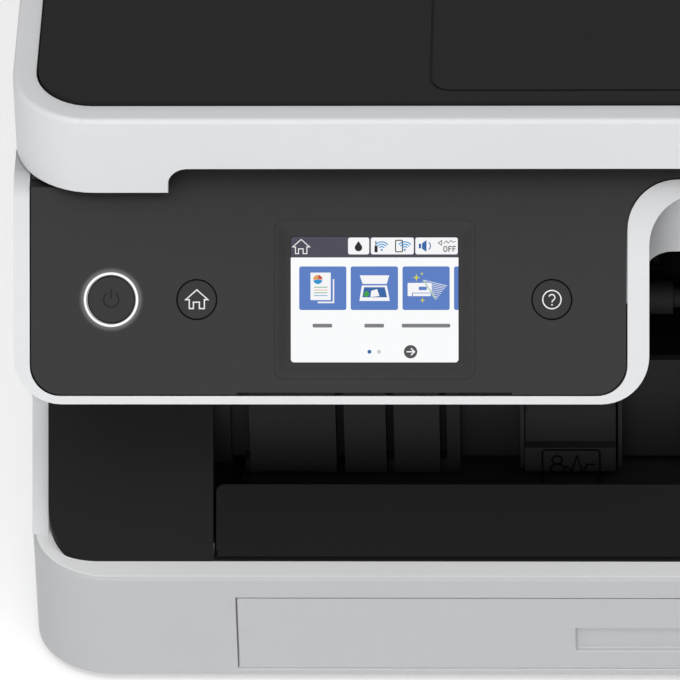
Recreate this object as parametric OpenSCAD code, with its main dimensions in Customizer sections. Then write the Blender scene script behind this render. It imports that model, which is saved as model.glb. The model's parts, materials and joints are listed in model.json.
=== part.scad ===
// Inkjet all-in-one printer with a tilting touch panel, a flatbed scanner, a paper
// cassette and refillable ink tanks. Millimetres, +X right, +Y back, +Z up.
// The origin is on the floor, under the middle of the printer.

/* [Body] */
// Overall width
body_w = 375; // [355:1:420]
// Overall depth
body_d = 347; // [347:1:380]
// Overall height to the top of the lid
body_h = 200; // [198:1:206]
// Thickness of the white outer shells
shell = 2.5; // [2:0.1:3]
// Plan radius of the front corners
front_r = 24; // [18:1:27]
// Plan radius of the rear corners
rear_r = 10; // [6:1:12]
// Height of the rubber feet
foot_h = 3; // [2:0.5:4]
// Radius of the rubber feet
foot_r = 9; // [6:0.5:11]
// Distance of the feet from the sides
foot_inset = 28; // [22:1:34]
// Gap between covers that meet
seam = 0.4; // [0.2:0.05:0.6]
// Gap between curved faces of pieces that move against each other
running = 0.3; // [0.2:0.05:0.4]
// Radial clearance of a shaft in its bearing
bearing = 0.05; // [0.02:0.01:0.08]

/* [Base] */
// Height of the ledge on top of the base
ledge_z = 41; // [40:0.5:43]
// Width of the visible ledge
ledge_w = 7.8; // [6:0.2:9]
// Distance of the base's front behind the foremost edge
base_set = 15; // [13:0.5:16]
// Distance of the cassette's front from the sides
cassette_inset = 62; // [58:0.5:66]
// Height of the cassette's front
cassette_h = 27.5; // [26:0.5:28]
// Space behind the cassette's tub
cassette_rear = 24; // [20:1:30]
// Height that the cassette stands over the base's floor
cassette_gap = 0.5; // [0.4:0.1:1]
// Distance from the open edge guides to the cassette's ends
guide_inset = 20.5; // [18:0.5:25]
// Radius of the pinion between the edge guides
guide_pinion_r = 8; // [7:0.5:9]
// Travel of each edge guide
guide_travel = 52; // [40:1:54]

/* [Front slope] */
// Depth that the front covers lean back over the slope
slope_run = 29; // [26:1:31]
// Height that the front covers rise over the slope
slope_rise = 37; // [33:1:40]
// Distance of the output bay from the sides
bay_inset = 56.5; // [55.5:0.5:58]
// Plan radius of the black covers' front corners
cover_r = 15; // [10:0.5:18]
// Distance from the ledge to the bay's rear wall
bay_depth = 34; // [32:0.5:36]
// Height of the bay's rear wall over the ledge
bay_wall_h = 50; // [46:1:52]

/* [Control panel] */
// Lean of the control panel from vertical
panel_lean = 38; // [34:1:40]
// Distance from the body's top down to the touch screen's middle row
panel_down = 27.1; // [26:0.1:28.5]
// Thickness of the white fascia
fascia_t = 12; // [11:0.5:14]
// Radius of the fascia's lower corners
fascia_r = 14; // [11:0.5:15]
// Width of the fascia beside the panel
fascia_side = 5.1; // [4.4:0.1:6]
// Width of the fascia under the panel
fascia_foot = 2.8; // [2.2:0.1:3.4]
// Width of the fascia between the panel and the arch
fascia_post = 6.7; // [6:0.1:7.5]
// Right edge of the black panel
panel_right = -9; // [-11:0.5:-7]
// Distance from the middle row to the panel's bottom edge
panel_drop = 27.7; // [26.5:0.1:29]
// Corner radius of the black panel
panel_r = 9; // [6:0.5:10]
// Height over the middle row at which the arch turns level
arch_rise = 30.6; // [29:0.1:31.5]
// Height of the white band over the arch
arch_band = 4.7; // [4:0.1:5.2]
// Radius of the arch's curves
arch_r = 15; // [11:0.5:17]
// Width of the fascia's part that holds the tank cover
tank_front_w = 57.5; // [56:0.5:59]
// Thickness of the panel's black face
face_t = 3; // [2.5:0.1:3.5]
// Depth of the tray behind the face
panel_tray_t = 7; // [6:0.5:7.5]
// Height of the panel's hinge over the middle row
panel_hinge_u = 33.5; // [33.2:0.1:33.8]
// Depth of the panel's hinge behind the face
panel_hinge_n = 3; // [2.9:0.05:3.1]
// Width of the screen's picture area
screen_w = 49; // [46:0.5:50]
// Height of the screen's picture area
screen_h = 36.7; // [34:0.1:37.5]
// Distance from the screen's middle to the panel's right edge
screen_in = 73.2; // [72:0.2:75]
// Border of the screen's recess
screen_border = 4.8; // [4:0.1:5.2]
// Depth of the screen's recess
screen_sink = 1.2; // [0.8:0.1:1.5]
// Distance from the panel's left edge to the power button
power_in = 23.4; // [21:0.2:25]
// Outer radius of the power button's light ring
power_r = 8.1; // [7.6:0.1:8.4]
// Width of the power button's light ring
power_band = 1; // [0.8:0.1:1.3]
// Distance between the power and the home button
home_pitch = 25; // [22:0.5:27]
// Distance from the help button to the panel's right edge
help_in = 21.6; // [20:0.2:23]
// Radius of the round buttons
button_r = 5.7; // [5:0.1:6]
// Travel of the buttons
button_travel = 0.8; // [0.5:0.1:1]

/* [Scanner] */
// Height of the lid's top over the scanner's rim
lid_up = 1.5; // [1.5:0.1:3]
// Distance of the scanner's front behind the foremost edge
scanner_set = 34; // [33:0.5:36]
// Height of the scanner's skirt
skirt_h = 26.5; // [24:0.5:27]
// Height of the grip notch in the skirt
notch_h = 8.7; // [7:0.1:9]
// Distance of the grip notch from the sides
notch_inset = 45.5; // [42:0.5:52]
// Radius of the grip notch's corners
notch_r = 5.8; // [3:0.1:6.5]
// Width of the rim around the lid
rim_w = 7; // [6:0.1:8]
// Width of the glass
glass_w = 304; // [300:1:308]
// Depth of the glass
glass_d = 222; // [218:1:224]
// Thickness of the glass
glass_t = 3; // [2.5:0.1:3]
// Distance from the lid's top down to the glass
glass_down = 12; // [11.8:0.1:12.5]

/* [Output tray] */
// Length of the output tray
tray_len = 150; // [140:1:160]
// Thickness of the trays
tray_t = 2.5; // [2:0.1:2.8]
// Height of the tray over the ledge
tray_up = 5.5; // [5:0.1:6]
// Length of the tray's outer stage
ext_len = 120; // [110:1:125]
// Length of the front flap up its slope
flap_len = 20; // [18:0.5:21]
// Height of the flap's hinge over the ledge
flap_up = 2.1; // [2.1:0.1:3]
// Thickness of the front flap
flap_t = 2.6; // [2.2:0.1:2.8]
// Distance of the flap's lugs from the middle
flap_lug = 100; // [60:1:110]

/* [Print works] */
// Height of the roller axes
roller_z = 92; // [91:0.5:93]
// Place of the feed roller, front to back
feed_y = 0; // [-2:1:2]
// Radius of the feed roller
feed_r = 4.5; // [4:0.1:5]
// Radius of the eject roller's rubber rings
eject_r = 5; // [4.5:0.1:5.5]
// Pitch radius of the feed gear
feed_gear_r = 15.7; // [14:0.1:16]
// Pitch radius of the middle gear
mid_gear_r = 31; // [30:0.5:32]
// Pitch radius of the eject gear
eject_gear_r = 9.7; // [9:0.1:11]
// Width of the gears
gear_w = 4; // [3:0.5:4.5]
// Width of the carriage
carriage_w = 44; // [40:1:46]
// Distance from the parked carriage's middle to the bay's side
park_in = 19; // [18:0.5:21]
// Radius of the carriage belt's pulleys
pulley_r = 6; // [5:0.5:6.5]
// Radius of the pick-up roller
pick_r = 12; // [11:0.5:12.5]

/* [Ink] */
// Height of the ink tank
tank_h = 54; // [50:1:55]
// Pitch of the four ink chambers
ink_pitch = 11.6; // [11:0.1:11.8]
// Radius of the filler caps
cap_r = 4.6; // [4:0.1:5]

/* [Hidden] */
$fn = 64;

half_w = body_w / 2;
front_y = -body_d / 2;
rear_y = body_d / 2;
base_y = front_y + base_set;
black_y = base_y + ledge_w;
deck_z = ledge_z + 2;
deck_y = black_y + 8.5;
bay_half = half_w - bay_inset;
cassette_half = half_w - cassette_inset;
cassette_d = body_d - base_set - cassette_rear;
sheet_half = cassette_half - guide_inset;

rim_z = body_h - lid_up;
skirt_z = rim_z - skirt_h;
body_top = skirt_z - seam;
glass_z = body_h - glass_down;
scan_y = front_y + scanner_set;
lid_y = scan_y + rim_w;
notch_half = half_w - notch_inset;
lift_y = rear_y - 7.5;
lift_z = skirt_z + 0.5;
lift_x = half_w - 38.5;
lid_hinge_y = rear_y - 16;
lid_hinge_z = body_h - 9;
scan_low = skirt_z + 0.8;
glass_y = lid_y + 14;

lean_s = sin(panel_lean);
lean_c = cos(panel_lean);
fascia_bottom = -panel_drop - fascia_foot;
panel_y = front_y - fascia_bottom * lean_s;
panel_z = body_top - panel_down;
panel_left = -half_w + fascia_side;
screen_x = panel_right - screen_in;
power_x = panel_left + power_in;
home_x = power_x + home_pitch;
help_x = panel_right - help_in;
tank_left = half_w - tank_front_w;
post_right = panel_right + fascia_post;
fascia_back_y = front_y + fascia_t * lean_c;
fascia_back_z = panel_z + fascia_bottom * lean_c - fascia_t * lean_s;
fascia_top_u = panel_hinge_u + 10.5;
pin_r = 1.3;
wall_y = base_y + 30;

rear_top = body_top - 4;
rear_cover_z = ledge_z + 20;
rear_cover_top = body_top - 21.6;
rear_cover_half = 110;
cover_hinge_y = rear_y - 2.2;
cover_hinge_z = rear_cover_z + 1.5;
cover_pin = 1.2;

bay_y = black_y + bay_depth;
tray_z = ledge_z + tray_up;
idle_y = feed_y - feed_gear_r - mid_gear_r - running;
eject_y = idle_y - mid_gear_r - eject_gear_r - running;
plate_in = bay_half - 3;
cover_in = bay_half + 1.6;
gear_x = -plate_in - 8;
rail_y = feed_y + 4;
belt_z = roller_z + 32;
post_x = half_w - 24.5;
drive_x = -half_w + 37.5;
idler_x = plate_in - 10;
park_x = bay_half - park_in;
rail_top = roller_z + 56;
head_z = roller_z + 7;
tank_x = half_w - 53.5;
tank_y = bay_y + 18.7;
tank_lid_u = -24.5;
tank_lid_n = 1.5;
tank_base = deck_z + 5;
tank_top = tank_base + tank_h;
cassette_z = foot_h + 2 + cassette_gap;
guide_mid_y = -10;
flap_z = ledge_z + flap_up;
flap_pin = 0.7;
flap_in = flap_t / 2 / cos(atan(slope_run / slope_rise));
flap_y = black_y + running + flap_up * slope_run / slope_rise + flap_in;
board_x = -half_w + 11;
pick_hinge = [60, ledge_z + 27];
pick_axis = [100, ledge_z + 6];
waste_x = half_w - 53.5;
waste_y = rear_y - 68.5;
waste_w = 40;
inlet_x = -half_w + 42.5;
inlet_z = ledge_z + 23;
usb_x = -half_w + 31.5;
usb_z = ledge_z + 71;
supply_x = -half_w + 25.5;
supply_y = rear_y - 118.5;

// The panel's own frame: +X along the printer, +Y up the slope, +Z out of the face
module on_panel() {
    translate([0, panel_y, panel_z]) rotate([90 - panel_lean, 0, 0]) children();
}

// A bar along X with its middle line at the given place, front to back and height
module bar_x(x0, x1, y, z, r) {
    translate([x0, y, z]) rotate([0, 90, 0]) cylinder(r = r, h = x1 - x0);
}

// A bar along Y
module bar_y(y0, y1, x, z, r) {
    translate([x, y0, z]) rotate([-90, 0, 0]) cylinder(r = r, h = y1 - y0);
}

// A block between two corners
module block(a, b) {
    translate(a) cube(b - a);
}

// A profile in the YZ plane, drawn out along X
module side_profile(x0, x1, points) {
    translate([x0, 0, 0]) rotate([90, 0, 90]) linear_extrude(x1 - x0) polygon(points);
}

// A rectangle whose front corners and rear corners have their own radii
module plan(x0, y0, x1, y1, rf, rr) {
    union() {
        translate([x0 + rf, y0]) square([x1 - x0 - 2 * rf, y1 - y0]);
        translate([x0, y0 + rf]) square([x1 - x0, y1 - y0 - rf - rr]);
        translate([x0 + rr, y0 + rf]) square([x1 - x0 - 2 * rr, y1 - y0 - rf]);
        for (x = [x0 + rf, x1 - rf]) translate([x, y0 + rf]) circle(rf);
        for (x = [x0 + rr, x1 - rr]) translate([x, y1 - rr]) circle(rr);
    }
}

// A rectangle with four equal corners
module rounded(x0, y0, x1, y1, r) {
    plan(x0, y0, x1, y1, r, r);
}

// ---- Base, chassis and outer covers ----

// White lower housing: a ring of wall with a floor and a ledge, open for the cassette
module base_cover() {
    color("gainsboro") difference() {
        translate([0, 0, foot_h]) linear_extrude(ledge_z - foot_h)
            plan(-half_w, base_y, half_w, rear_y - 1.5, front_r, rear_r);
        translate([0, 0, foot_h + 2]) linear_extrude(ledge_z - foot_h - 2 - shell)
            plan(-half_w + shell, base_y + shell, half_w - shell, rear_y - 1.5 - shell,
                 front_r - shell, rear_r - shell);
        translate([0, 0, ledge_z - shell - 1]) linear_extrude(shell + 2)
            plan(-half_w + 9.5, base_y + ledge_w + shell + 1, half_w - 9.5, rear_y - 12,
                 front_r - 9, rear_r - 4);
        block([-cassette_half - seam, base_y - 1, foot_h + 2],
              [cassette_half + seam, base_y + shell + 1,
               cassette_z + cassette_h + seam]);
    }
}

// Plate, side plates and posts that carry the print works
module base_chassis() {
    post_y = bay_y + 5;
    rear_post_y = rear_y - 53.5;
    bar_z = body_top - 16;
    color("dimgray") difference() {
        union() {
            translate([0, 0, ledge_z]) linear_extrude(deck_z - ledge_z)
                plan(-half_w + 6, deck_y, half_w - 6, rear_y - 8, cover_r - 1, 1);
            block([seam - cover_in, black_y, ledge_z], [cover_in - seam, deck_y + 1, ledge_z + 0.4]);
            block([waste_x + 2, waste_y - 2, deck_z],
                  [waste_x + waste_w - 2, rear_y - 8, ledge_z + 14.7]);
            for (s = [-1, 1]) {
                block([s * plate_in + (s < 0 ? -3 : 0), post_y, deck_z],
                      [s * plate_in + (s < 0 ? 0 : 3), rear_y - 13.5, roller_z + 6]);
                block([s * (post_x + 1.5) - 1.5, post_y, deck_z],
                      [s * (post_x + 1.5) + 1.5, post_y + 10, bar_z + 8]);
            }
            block([-post_x - 3, rear_post_y, deck_z], [-post_x, rear_post_y + 10, bar_z + 8]);
            block([half_w - 10, rear_post_y, deck_z],
                  [half_w - 7, rear_post_y + 10, bar_z + 8]);
            block([-post_x - 3, rail_y, deck_z], [-post_x, rail_y + 26, rail_top + 10]);
            block([plate_in, rail_y - 4, deck_z], [plate_in + 3, rail_y + 26, rail_top + 10]);
            block([-post_x - 3, post_y, bar_z], [post_x + 3, post_y + 6, bar_z + 8]);
            block([-post_x - 3, rear_post_y + 4, bar_z],
                  [half_w - 7, rear_post_y + 10, bar_z + 8]);
        }
        block([34, pick_hinge[0] - 8, ledge_z - 1], [76, pick_axis[0] + 24, deck_z + 1]);
        block([-rear_cover_half, rear_y - 35.5, ledge_z - 1], [30, rear_y - 17.5, deck_z + 1]);
        for (y = [feed_y, eject_y])
            bar_x(-plate_in - 12, plate_in + 12, y, roller_z, 3 + bearing);
        bar_x(-plate_in - 12, -plate_in + 28, idle_y, roller_z, 2 + bearing);
        bar_x(20, plate_in + 12, pick_hinge[0], pick_hinge[1], 2.5 + bearing);
    }
}

// Four rubber feet
module feet() {
    color("black") for (x = [-1, 1], y = [base_y + foot_inset, rear_y - foot_inset])
        translate([x * (half_w - foot_inset), y, 0]) union() {
            cylinder(r = foot_r, h = foot_h - 0.8);
            cylinder(r = foot_r - 1.2, h = foot_h);
        }
}

// Side of the body: a plate with a front edge that leans back and a return flange
module side_shell() {
    column_y = base_y + 20;
    knee = [column_y + slope_run * 0.84, ledge_z + slope_rise * 0.84];
    outline = [[column_y, ledge_z], [rear_y - 1.5, ledge_z], [rear_y - 1.5, body_top - 4],
               [rear_y - 16, body_top],
               [fascia_back_y + (body_top - fascia_back_z) * lean_s / lean_c, body_top],
               [fascia_back_y + seam + fascia_r * lean_s, fascia_back_z + fascia_r * lean_c],
               [knee[0], fascia_back_z - 15], knee];
    difference() {
        side_profile(-half_w, -half_w + fascia_side, outline);
        translate([0, shell, 0]) side_profile(-half_w + shell, -half_w + 9, outline);
        for (i = [0:9]) {
            y = rear_y - 113.5 + i * 6;
            block([-half_w - 1, y, body_top - 51.6],
                  [-half_w + shell + 1, y + 2.5, body_top - 23.6]);
        }
    }
    side_profile(-half_w + shell, -half_w + fascia_side,
                 [[rear_y - 6, ledge_z], [rear_y - 1.5, ledge_z],
                  [rear_y - 1.5, body_top - 4], [rear_y - 6, body_top - 3.8]]);
}

module left_side_cover() {
    color("gainsboro") side_shell();
}

module right_side_cover() {
    color("gainsboro") mirror([1, 0, 0]) side_shell();
}

// Rear wall with the openings for the rear cover, the inlet, the port and the waste box
module rear_panel() {
    color("gainsboro") difference() {
        union() {
            block([-half_w + 8, rear_y - 3, ledge_z], [half_w - 8, rear_y - 0.5, rear_top]);
            for (s = [-1, 1]) {
                block([s * (half_w - 8.55) - 3.45, rear_y - 7.5, ledge_z],
                      [s * (half_w - 8.55) + 3.45, rear_y - 0.5, rear_top]);
                block([s * (half_w - 29.5) - 3, lift_y - 4, rear_top - 20],
                      [s * (half_w - 29.5) + 3, rear_y - 1, rear_top]);
                block([s * (half_w - 29.5) - 3, lift_y - 4, rear_top - 1],
                      [s * (half_w - 29.5) + 3, lift_y + 3.5, lift_z + 4]);
                block([s * (rear_cover_half + 5) - 3, rear_y - 9, rear_cover_z - 5],
                      [s * (rear_cover_half + 5) + 3, rear_y - 1, rear_cover_z + 9]);
            }
        }
        block([-rear_cover_half - 0.5, rear_y - 4, rear_cover_z - 1.5],
              [rear_cover_half + 0.5, rear_y + 1, rear_cover_top + 0.5]);
        block([waste_x - 0.5, rear_y - 4, ledge_z + 14.5],
              [waste_x + waste_w + 0.5, rear_y + 1, ledge_z + 59.5]);
        block([inlet_x - 14, rear_y - 4, inlet_z - 12], [inlet_x + 14, rear_y + 1, inlet_z + 12]);
        block([usb_x - 8, rear_y - 4, usb_z - 8], [usb_x + 8, rear_y + 1, usb_z + 8]);
        for (s = [-1, 1]) {
            bar_x(s * (half_w - 29.5) - 12, s * (half_w - 29.5) + 12, lift_y, lift_z,
                  2.5 + bearing);
            bar_x(s * (rear_cover_half + 4) - 5, s * (rear_cover_half + 4) + 5,
                  cover_hinge_y, cover_hinge_z, cover_pin + bearing);
        }
        for (i = [0:11]) {
            x = -half_w + 37.5 + i * 6;
            block([x, rear_y - 4, rear_top - 11.6], [x + 3, rear_y + 1, rear_top - 4.6]);
        }
    }
}

// Outline of the white fascia in the panel's frame
module fascia_outline() {
    r = arch_r;
    low = fascia_bottom;
    difference() {
        union() {
            plan(-half_w, low, post_right, fascia_top_u, fascia_r, 0.01);
            plan(tank_left, low, half_w, fascia_top_u, fascia_r, 0.01);
            translate([post_right - 1, arch_rise])
                square([tank_left - post_right + 2, fascia_top_u - arch_rise]);
            translate([post_right - 1, arch_rise - r]) square([r + 1, r + 1]);
            translate([tank_left - r, arch_rise - r]) square([r + 1, r + 1]);
        }
        translate([post_right + r, arch_rise - r]) circle(r);
        translate([tank_left - r, arch_rise - r]) circle(r);
    }
}

// Outline of the black panel, with its wing over the arch, grown by a gap
module panel_outline(gap) {
    r = arch_r - gap;
    left = panel_left - gap;
    low = -panel_drop - gap;
    right = panel_right + gap;
    top = fascia_top_u - 0.5;
    wing = arch_rise + arch_band - gap;
    difference() {
        union() {
            plan(left, low, right, top, panel_r, 0.01);
            translate([right - 1, wing]) square([tank_left - 3 + gap - right + 1, top - wing]);
            translate([right - 1, wing - r]) square([r + 1, r + 1]);
        }
        translate([right + r, wing - r]) circle(r);
    }
}

// White frame that holds the control panel, arches over the output bay and frames the tanks
module front_fascia() {
    t = fascia_t;
    color("whitesmoke") difference() {
        on_panel() difference() {
            translate([0, 0, -t]) linear_extrude(t) fascia_outline();
            translate([0, 0, -t - 1]) linear_extrude(t + 2) panel_outline(seam);
            translate([0, 0, -t - 1]) linear_extrude(t + 2)
                plan(tank_left + 7, tank_lid_u - 2.5, half_w - fascia_side, 30, 2, 6);
            bar_x(panel_left - 3.2, panel_left + 1, panel_hinge_u, -panel_hinge_n, pin_r + bearing);
            bar_x(panel_right, post_right + 5.4, panel_hinge_u, -panel_hinge_n, pin_r + bearing);
            for (x = [tank_left + 4, half_w - fascia_side - 4])
                bar_x(x, x + 7, tank_lid_u, -tank_lid_n, 1 + bearing);
        }
        block([-half_w - 1, front_y, body_top + 3.6], [half_w + 1, 0, body_h]);
        difference() {
            block([-half_w - 1, front_y, body_top], [half_w + 1, 0, body_h]);
            skirt_inside(body_top - 1, 0.6);
        }
    }
    color("whitesmoke") difference() {
        block([post_right - 11.5, wall_y, panel_z - 22.5],
              [tank_left + 2, wall_y + shell, body_top - 5.6]);
        translate([0, wall_y - 1, 0]) rotate([90, 0, 0]) mirror([0, 0, 1]) linear_extrude(shell + 2)
            rounded(post_right - 1.2, panel_z - 44.5, tank_left - 6, panel_z - 2.9, 8);
    }
}

// Space inside the scanner's skirt, kept clear by a gap
module skirt_inside(z0, gap) {
    in = shell + gap;
    translate([0, 0, z0]) linear_extrude(body_h)
        plan(-half_w + in, scan_y + in, half_w - in, rear_y - in, front_r - in, rear_r - in);
}

// Sloping front of the black covers beside the output bay
module slope_cover() {
    knee = [black_y + slope_run, ledge_z + slope_rise];
    top = [knee[0], fascia_back_z + 3];
    intersection() {
        side_profile(-half_w + fascia_side + seam, -cover_in,
                     [[black_y, ledge_z], [black_y + shell, ledge_z], knee + [shell, -0.8],
                      top + [shell, 0], top, knee]);
        linear_extrude(body_h) plan(-half_w + fascia_side + seam, black_y, 0, 0, cover_r, 1);
    }
}

module front_left_cover() {
    color("#242424") slope_cover();
}

// The same on the right, with the window in front of the ink tank
module front_right_cover() {
    color("#242424") difference() {
        mirror([1, 0, 0]) slope_cover();
        block([tank_x + 4, black_y - 1, ledge_z + 12],
              [half_w - 10.5, 0, fascia_back_z - 21]);
    }
}

// Black inner front of the output bay, with its ribs and blocks
module output_throat() {
    top = ledge_z + bay_wall_h;
    floor_z = tray_z + tray_t + 2.2;
    face_y = bay_y - 7;
    color("#181818") union() {
        block([-bay_half + 3, bay_y, ledge_z + 13], [bay_half - 3, bay_y + 2.5, top]);
        for (s = [-1, 1]) {
            side_profile(s * (cover_in + 1.5) - 1.2, s * (cover_in + 1.5) + 1.2,
                         [[deck_y, deck_z], [bay_y + 4.6, deck_z],
                          [bay_y + 4.6, fascia_back_z + 0.2],
                          [black_y + slope_run + 3, fascia_back_z + 0.2],
                          [black_y + slope_run + 3, ledge_z + slope_rise - 2]]);
            block([s * (bay_half - 0.4) - 2.8, bay_y - 2.1, floor_z + 2],
                  [s * (bay_half - 0.4) + 2.8, bay_y + 2.5, top]);
        }
        for (s = [-1, 1]) {
            bay_block(s, bay_half - 35, bay_half - 9.1, face_y, floor_z + 2.3, top - 4);
            bay_block(s, 81, 93.5, face_y, floor_z + 2, top - 4);
            bay_block(s, 64.9, 78.6, face_y, floor_z + 2, top - 4);
            bay_block(s, 58.9, 62.9, face_y + 3, floor_z, top - 9);
            bay_block(s, 39.6, 40.8, face_y, floor_z + 4, top - 4);
            bay_block(s, 10.3, 11.5, face_y, floor_z + 4, top - 4);
            for (foot = [[bay_half - 34, bay_half - 31.6], [bay_half - 11.8, bay_half - 7.5],
                         [82.7, 92], [59.4, 64.7], [65.3, 80.8]])
                bay_block(s, foot[0], foot[1], face_y + 2.5, floor_z, floor_z + 4.8);
            side_profile(s > 0 ? 12.2 : -39.4, s > 0 ? 39.4 : -12.2,
                         [[bay_y + 0.1, ledge_z + 14], [face_y - 1.5, ledge_z + 14],
                          [face_y - 1.5, ledge_z + 23], [face_y + 1.2, ledge_z + 23.5],
                          [face_y + 1.2, ledge_z + 33.5], [face_y + 4, ledge_z + 37],
                          [face_y + 4, top], [bay_y + 0.1, top]]);
        }
        block([-41, face_y + 4, ledge_z + 37], [-11, bay_y + 0.1, top]);
    }
}

// One block on the bay's rear wall, on the left or the right side
module bay_block(s, inner, outer, y, z0, z1) {
    block([s > 0 ? inner : -outer, y, z0], [s > 0 ? outer : -inner, bay_y + 1, z1]);
}

// ---- Print works ----

// Ribbed plate that the paper lies on under the print head
module platen() {
    y0 = eject_y + 12;
    y1 = feed_y - 12;
    color("#303030") union() {
        block([-plate_in, y0, roller_z - 2], [plate_in, y1, roller_z + 2]);
        for (i = [-8:7])
            block([i * 12 - 1, y0 + 2, roller_z + 2], [i * 12 + 1, y1 - 2, roller_z + 4]);
    }
}

// Folded steel rail with the carriage's running edge
module guide_rail() {
    color("silver") difference() {
        union() {
            block([-post_x, rail_y, roller_z + 16], [plate_in, rail_y + 2, rail_top]);
            block([-post_x, rail_y, rail_top - 1.5], [plate_in, rail_y + 10, rail_top]);
        }
        for (x = [drive_x, idler_x]) bar_y(rail_y - 1, rail_y + 3, x, belt_z, 2.5 + bearing);
    }
}

// Clear strip that the carriage reads its place from
module encoder_strip() {
    color("lightgray") union() {
        block([-post_x, rail_y - 1.8, rail_top - 10], [plate_in, rail_y - 1.5, rail_top - 4]);
        for (x = [-post_x + 3, plate_in - 6])
            block([x, rail_y - 1.6, rail_top - 9], [x + 4, rail_y, rail_top - 5]);
    }
}

// Carriage that hangs on the rail and carries the print head
module carriage() {
    x0 = park_x - carriage_w / 2;
    x1 = park_x + carriage_w / 2;
    color("#2b2b2b") union() {
        difference() {
            block([x0, rail_y - 66, head_z + 7], [x1, rail_y - 7, rail_top - 5]);
            block([x0 + 3, rail_y - 62, head_z + 19], [x1 - 3, rail_y - 12, rail_top]);
        }
        block([x0 + 4, rail_y - 14, rail_top - 6], [x1 - 9, rail_y - 7, rail_top + 3]);
        block([x0 + 4, rail_y - 14, rail_top + 0.4], [x1 - 9, rail_y + 13, rail_top + 3]);
        block([x0 + 4, rail_y + 10.4, rail_top - 4.5], [x1 - 9, rail_y + 13, rail_top + 3]);
    }
}

// Print head under the carriage, with four dampers on top of it
module print_head() {
    x0 = park_x - carriage_w / 2 + 5;
    color("#555555") union() {
        block([x0, rail_y - 54, head_z], [x0 + carriage_w - 10, rail_y - 20, head_z + 7]);
        for (i = [0:3]) block([x0 + 0.8 + i * 8.4, rail_y - 56, head_z + 19],
                              [x0 + 8 + i * 8.4, rail_y - 20, head_z + 39]);
    }
}

// Flat ribbon of four ink tubes from the tanks to the rail
module ink_tubes() {
    y0 = tank_y + 46;
    z = body_top - 12;
    color("#8890a0") for (i = [0:3]) {
        x = tank_x + 16 - i * 3;
        y = rail_y + 16 + i * 3;
        bar_x(20, x, y, z, 1.4);
        bar_y(y0, y, x, z, 1.4);
        for (end = [[x, y, z], [x, y0, z]]) translate(end) sphere(1.4);
        translate([x, y0, tank_top]) cylinder(r = 1.4, h = z - tank_top);
    }
}

// Toothed belt in a long loop round the two pulleys
module carriage_belt() {
    module loop(r) {
        union() {
            translate([drive_x, -r]) square([idler_x - drive_x, 2 * r]);
            for (x = [drive_x, idler_x]) translate([x, 0]) circle(r);
        }
    }
    color("black") translate([0, rail_y - 1.4, belt_z]) rotate([90, 0, 0]) linear_extrude(3)
        difference() {
            loop(pulley_r + running + 0.8);
            loop(pulley_r + running);
        }
}

module motor(length, r) {
    cylinder(r = r, h = length);
    translate([0, 0, length]) cylinder(r = r * 0.55, h = 2);
}

// Motor of the carriage, on the back of the rail
module carriage_motor() {
    color("gray") translate([drive_x + 1, rail_y + 2, belt_z]) rotate([-90, 0, 0]) motor(24, 11);
}

// Pulley with its shaft through the rail
module pulley(x) {
    translate([x, 0, belt_z]) rotate([90, 0, 0]) {
        translate([0, 0, -rail_y + 0.9]) cylinder(r = pulley_r, h = 4);
        translate([0, 0, -rail_y + 4.8]) cylinder(r = pulley_r + 1.5, h = 1);
    }
    bar_y(rail_y - 2, rail_y + 1.8, x, belt_z, 2.5);
}

module drive_pulley() {
    color("goldenrod") pulley(drive_x);
}

module idler_pulley() {
    color("white") pulley(idler_x);
}

module gear(y, r) {
    bar_x(gear_x - gear_w / 2, gear_x + gear_w / 2, y, roller_z, r);
}

// Steel feed roller with its gear
module feed_roller() {
    color("silver") union() {
        bar_x(-plate_in + 0.5, plate_in - 0.5, feed_y, roller_z, feed_r);
        bar_x(gear_x, plate_in + 3, feed_y, roller_z, 3);
        gear(feed_y, feed_gear_r);
    }
}

// Middle gear between the feed and the eject gear
module middle_gear() {
    color("white") union() {
        gear(idle_y, mid_gear_r);
        bar_x(gear_x, -plate_in - 0.3, idle_y, roller_z, 2);
    }
}

// Eject roller with its rubber rings and its gear
module eject_roller() {
    color("#404040") union() {
        bar_x(gear_x, plate_in + 3, eject_y, roller_z, 3);
        for (i = [-4:4]) bar_x(i * 26 - 5, i * 26 + 5, eject_y, roller_z, eject_r);
        gear(eject_y, eject_gear_r);
    }
}

// Motor that drives the feed roller from its end
module feed_motor() {
    color("gray") union() {
        bar_x(-post_x + 3, gear_x - gear_w / 2 - 2.5, feed_y, roller_z, 15);
        bar_x(gear_x - gear_w / 2 - 2.5, gear_x - gear_w / 2 - 0.3, feed_y, roller_z, 6);
        block([-post_x + 0.4, feed_y - 10, deck_z],
              [-post_x + 13, feed_y + 10, roller_z - 10]);
    }
}

// Swinging arm of the pick-up roller, on a shaft across to the right side plate
module pickup_arm() {
    color("#3a3a3a") union() {
        for (x = [42, 66]) {
            side_profile(x, x + 3,
                         [pick_hinge + [-4, -3], pick_hinge + [-4, 4], pick_hinge + [3, 4],
                          pick_axis + [4, 4], pick_axis + [4, -4], pick_axis + [-4, -4]]);
        }
        side_profile(42, 69, [pick_hinge + [4, -2], pick_hinge + [6, 2],
                              pick_hinge + [11, 0], pick_hinge + [9, -4]]);
        bar_x(42, plate_in + 2.6, pick_hinge[0], pick_hinge[1], 2.5);
        bar_x(43, 68, pick_axis[0], pick_axis[1], 1.5);
    }
}

// Rubber pick-up roller
module pickup_roller() {
    color("#1c1c1c") difference() {
        bar_x(46, 65, pick_axis[0], pick_axis[1], pick_r);
        bar_x(45, 66, pick_axis[0], pick_axis[1], 1.5 + bearing);
    }
}

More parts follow.
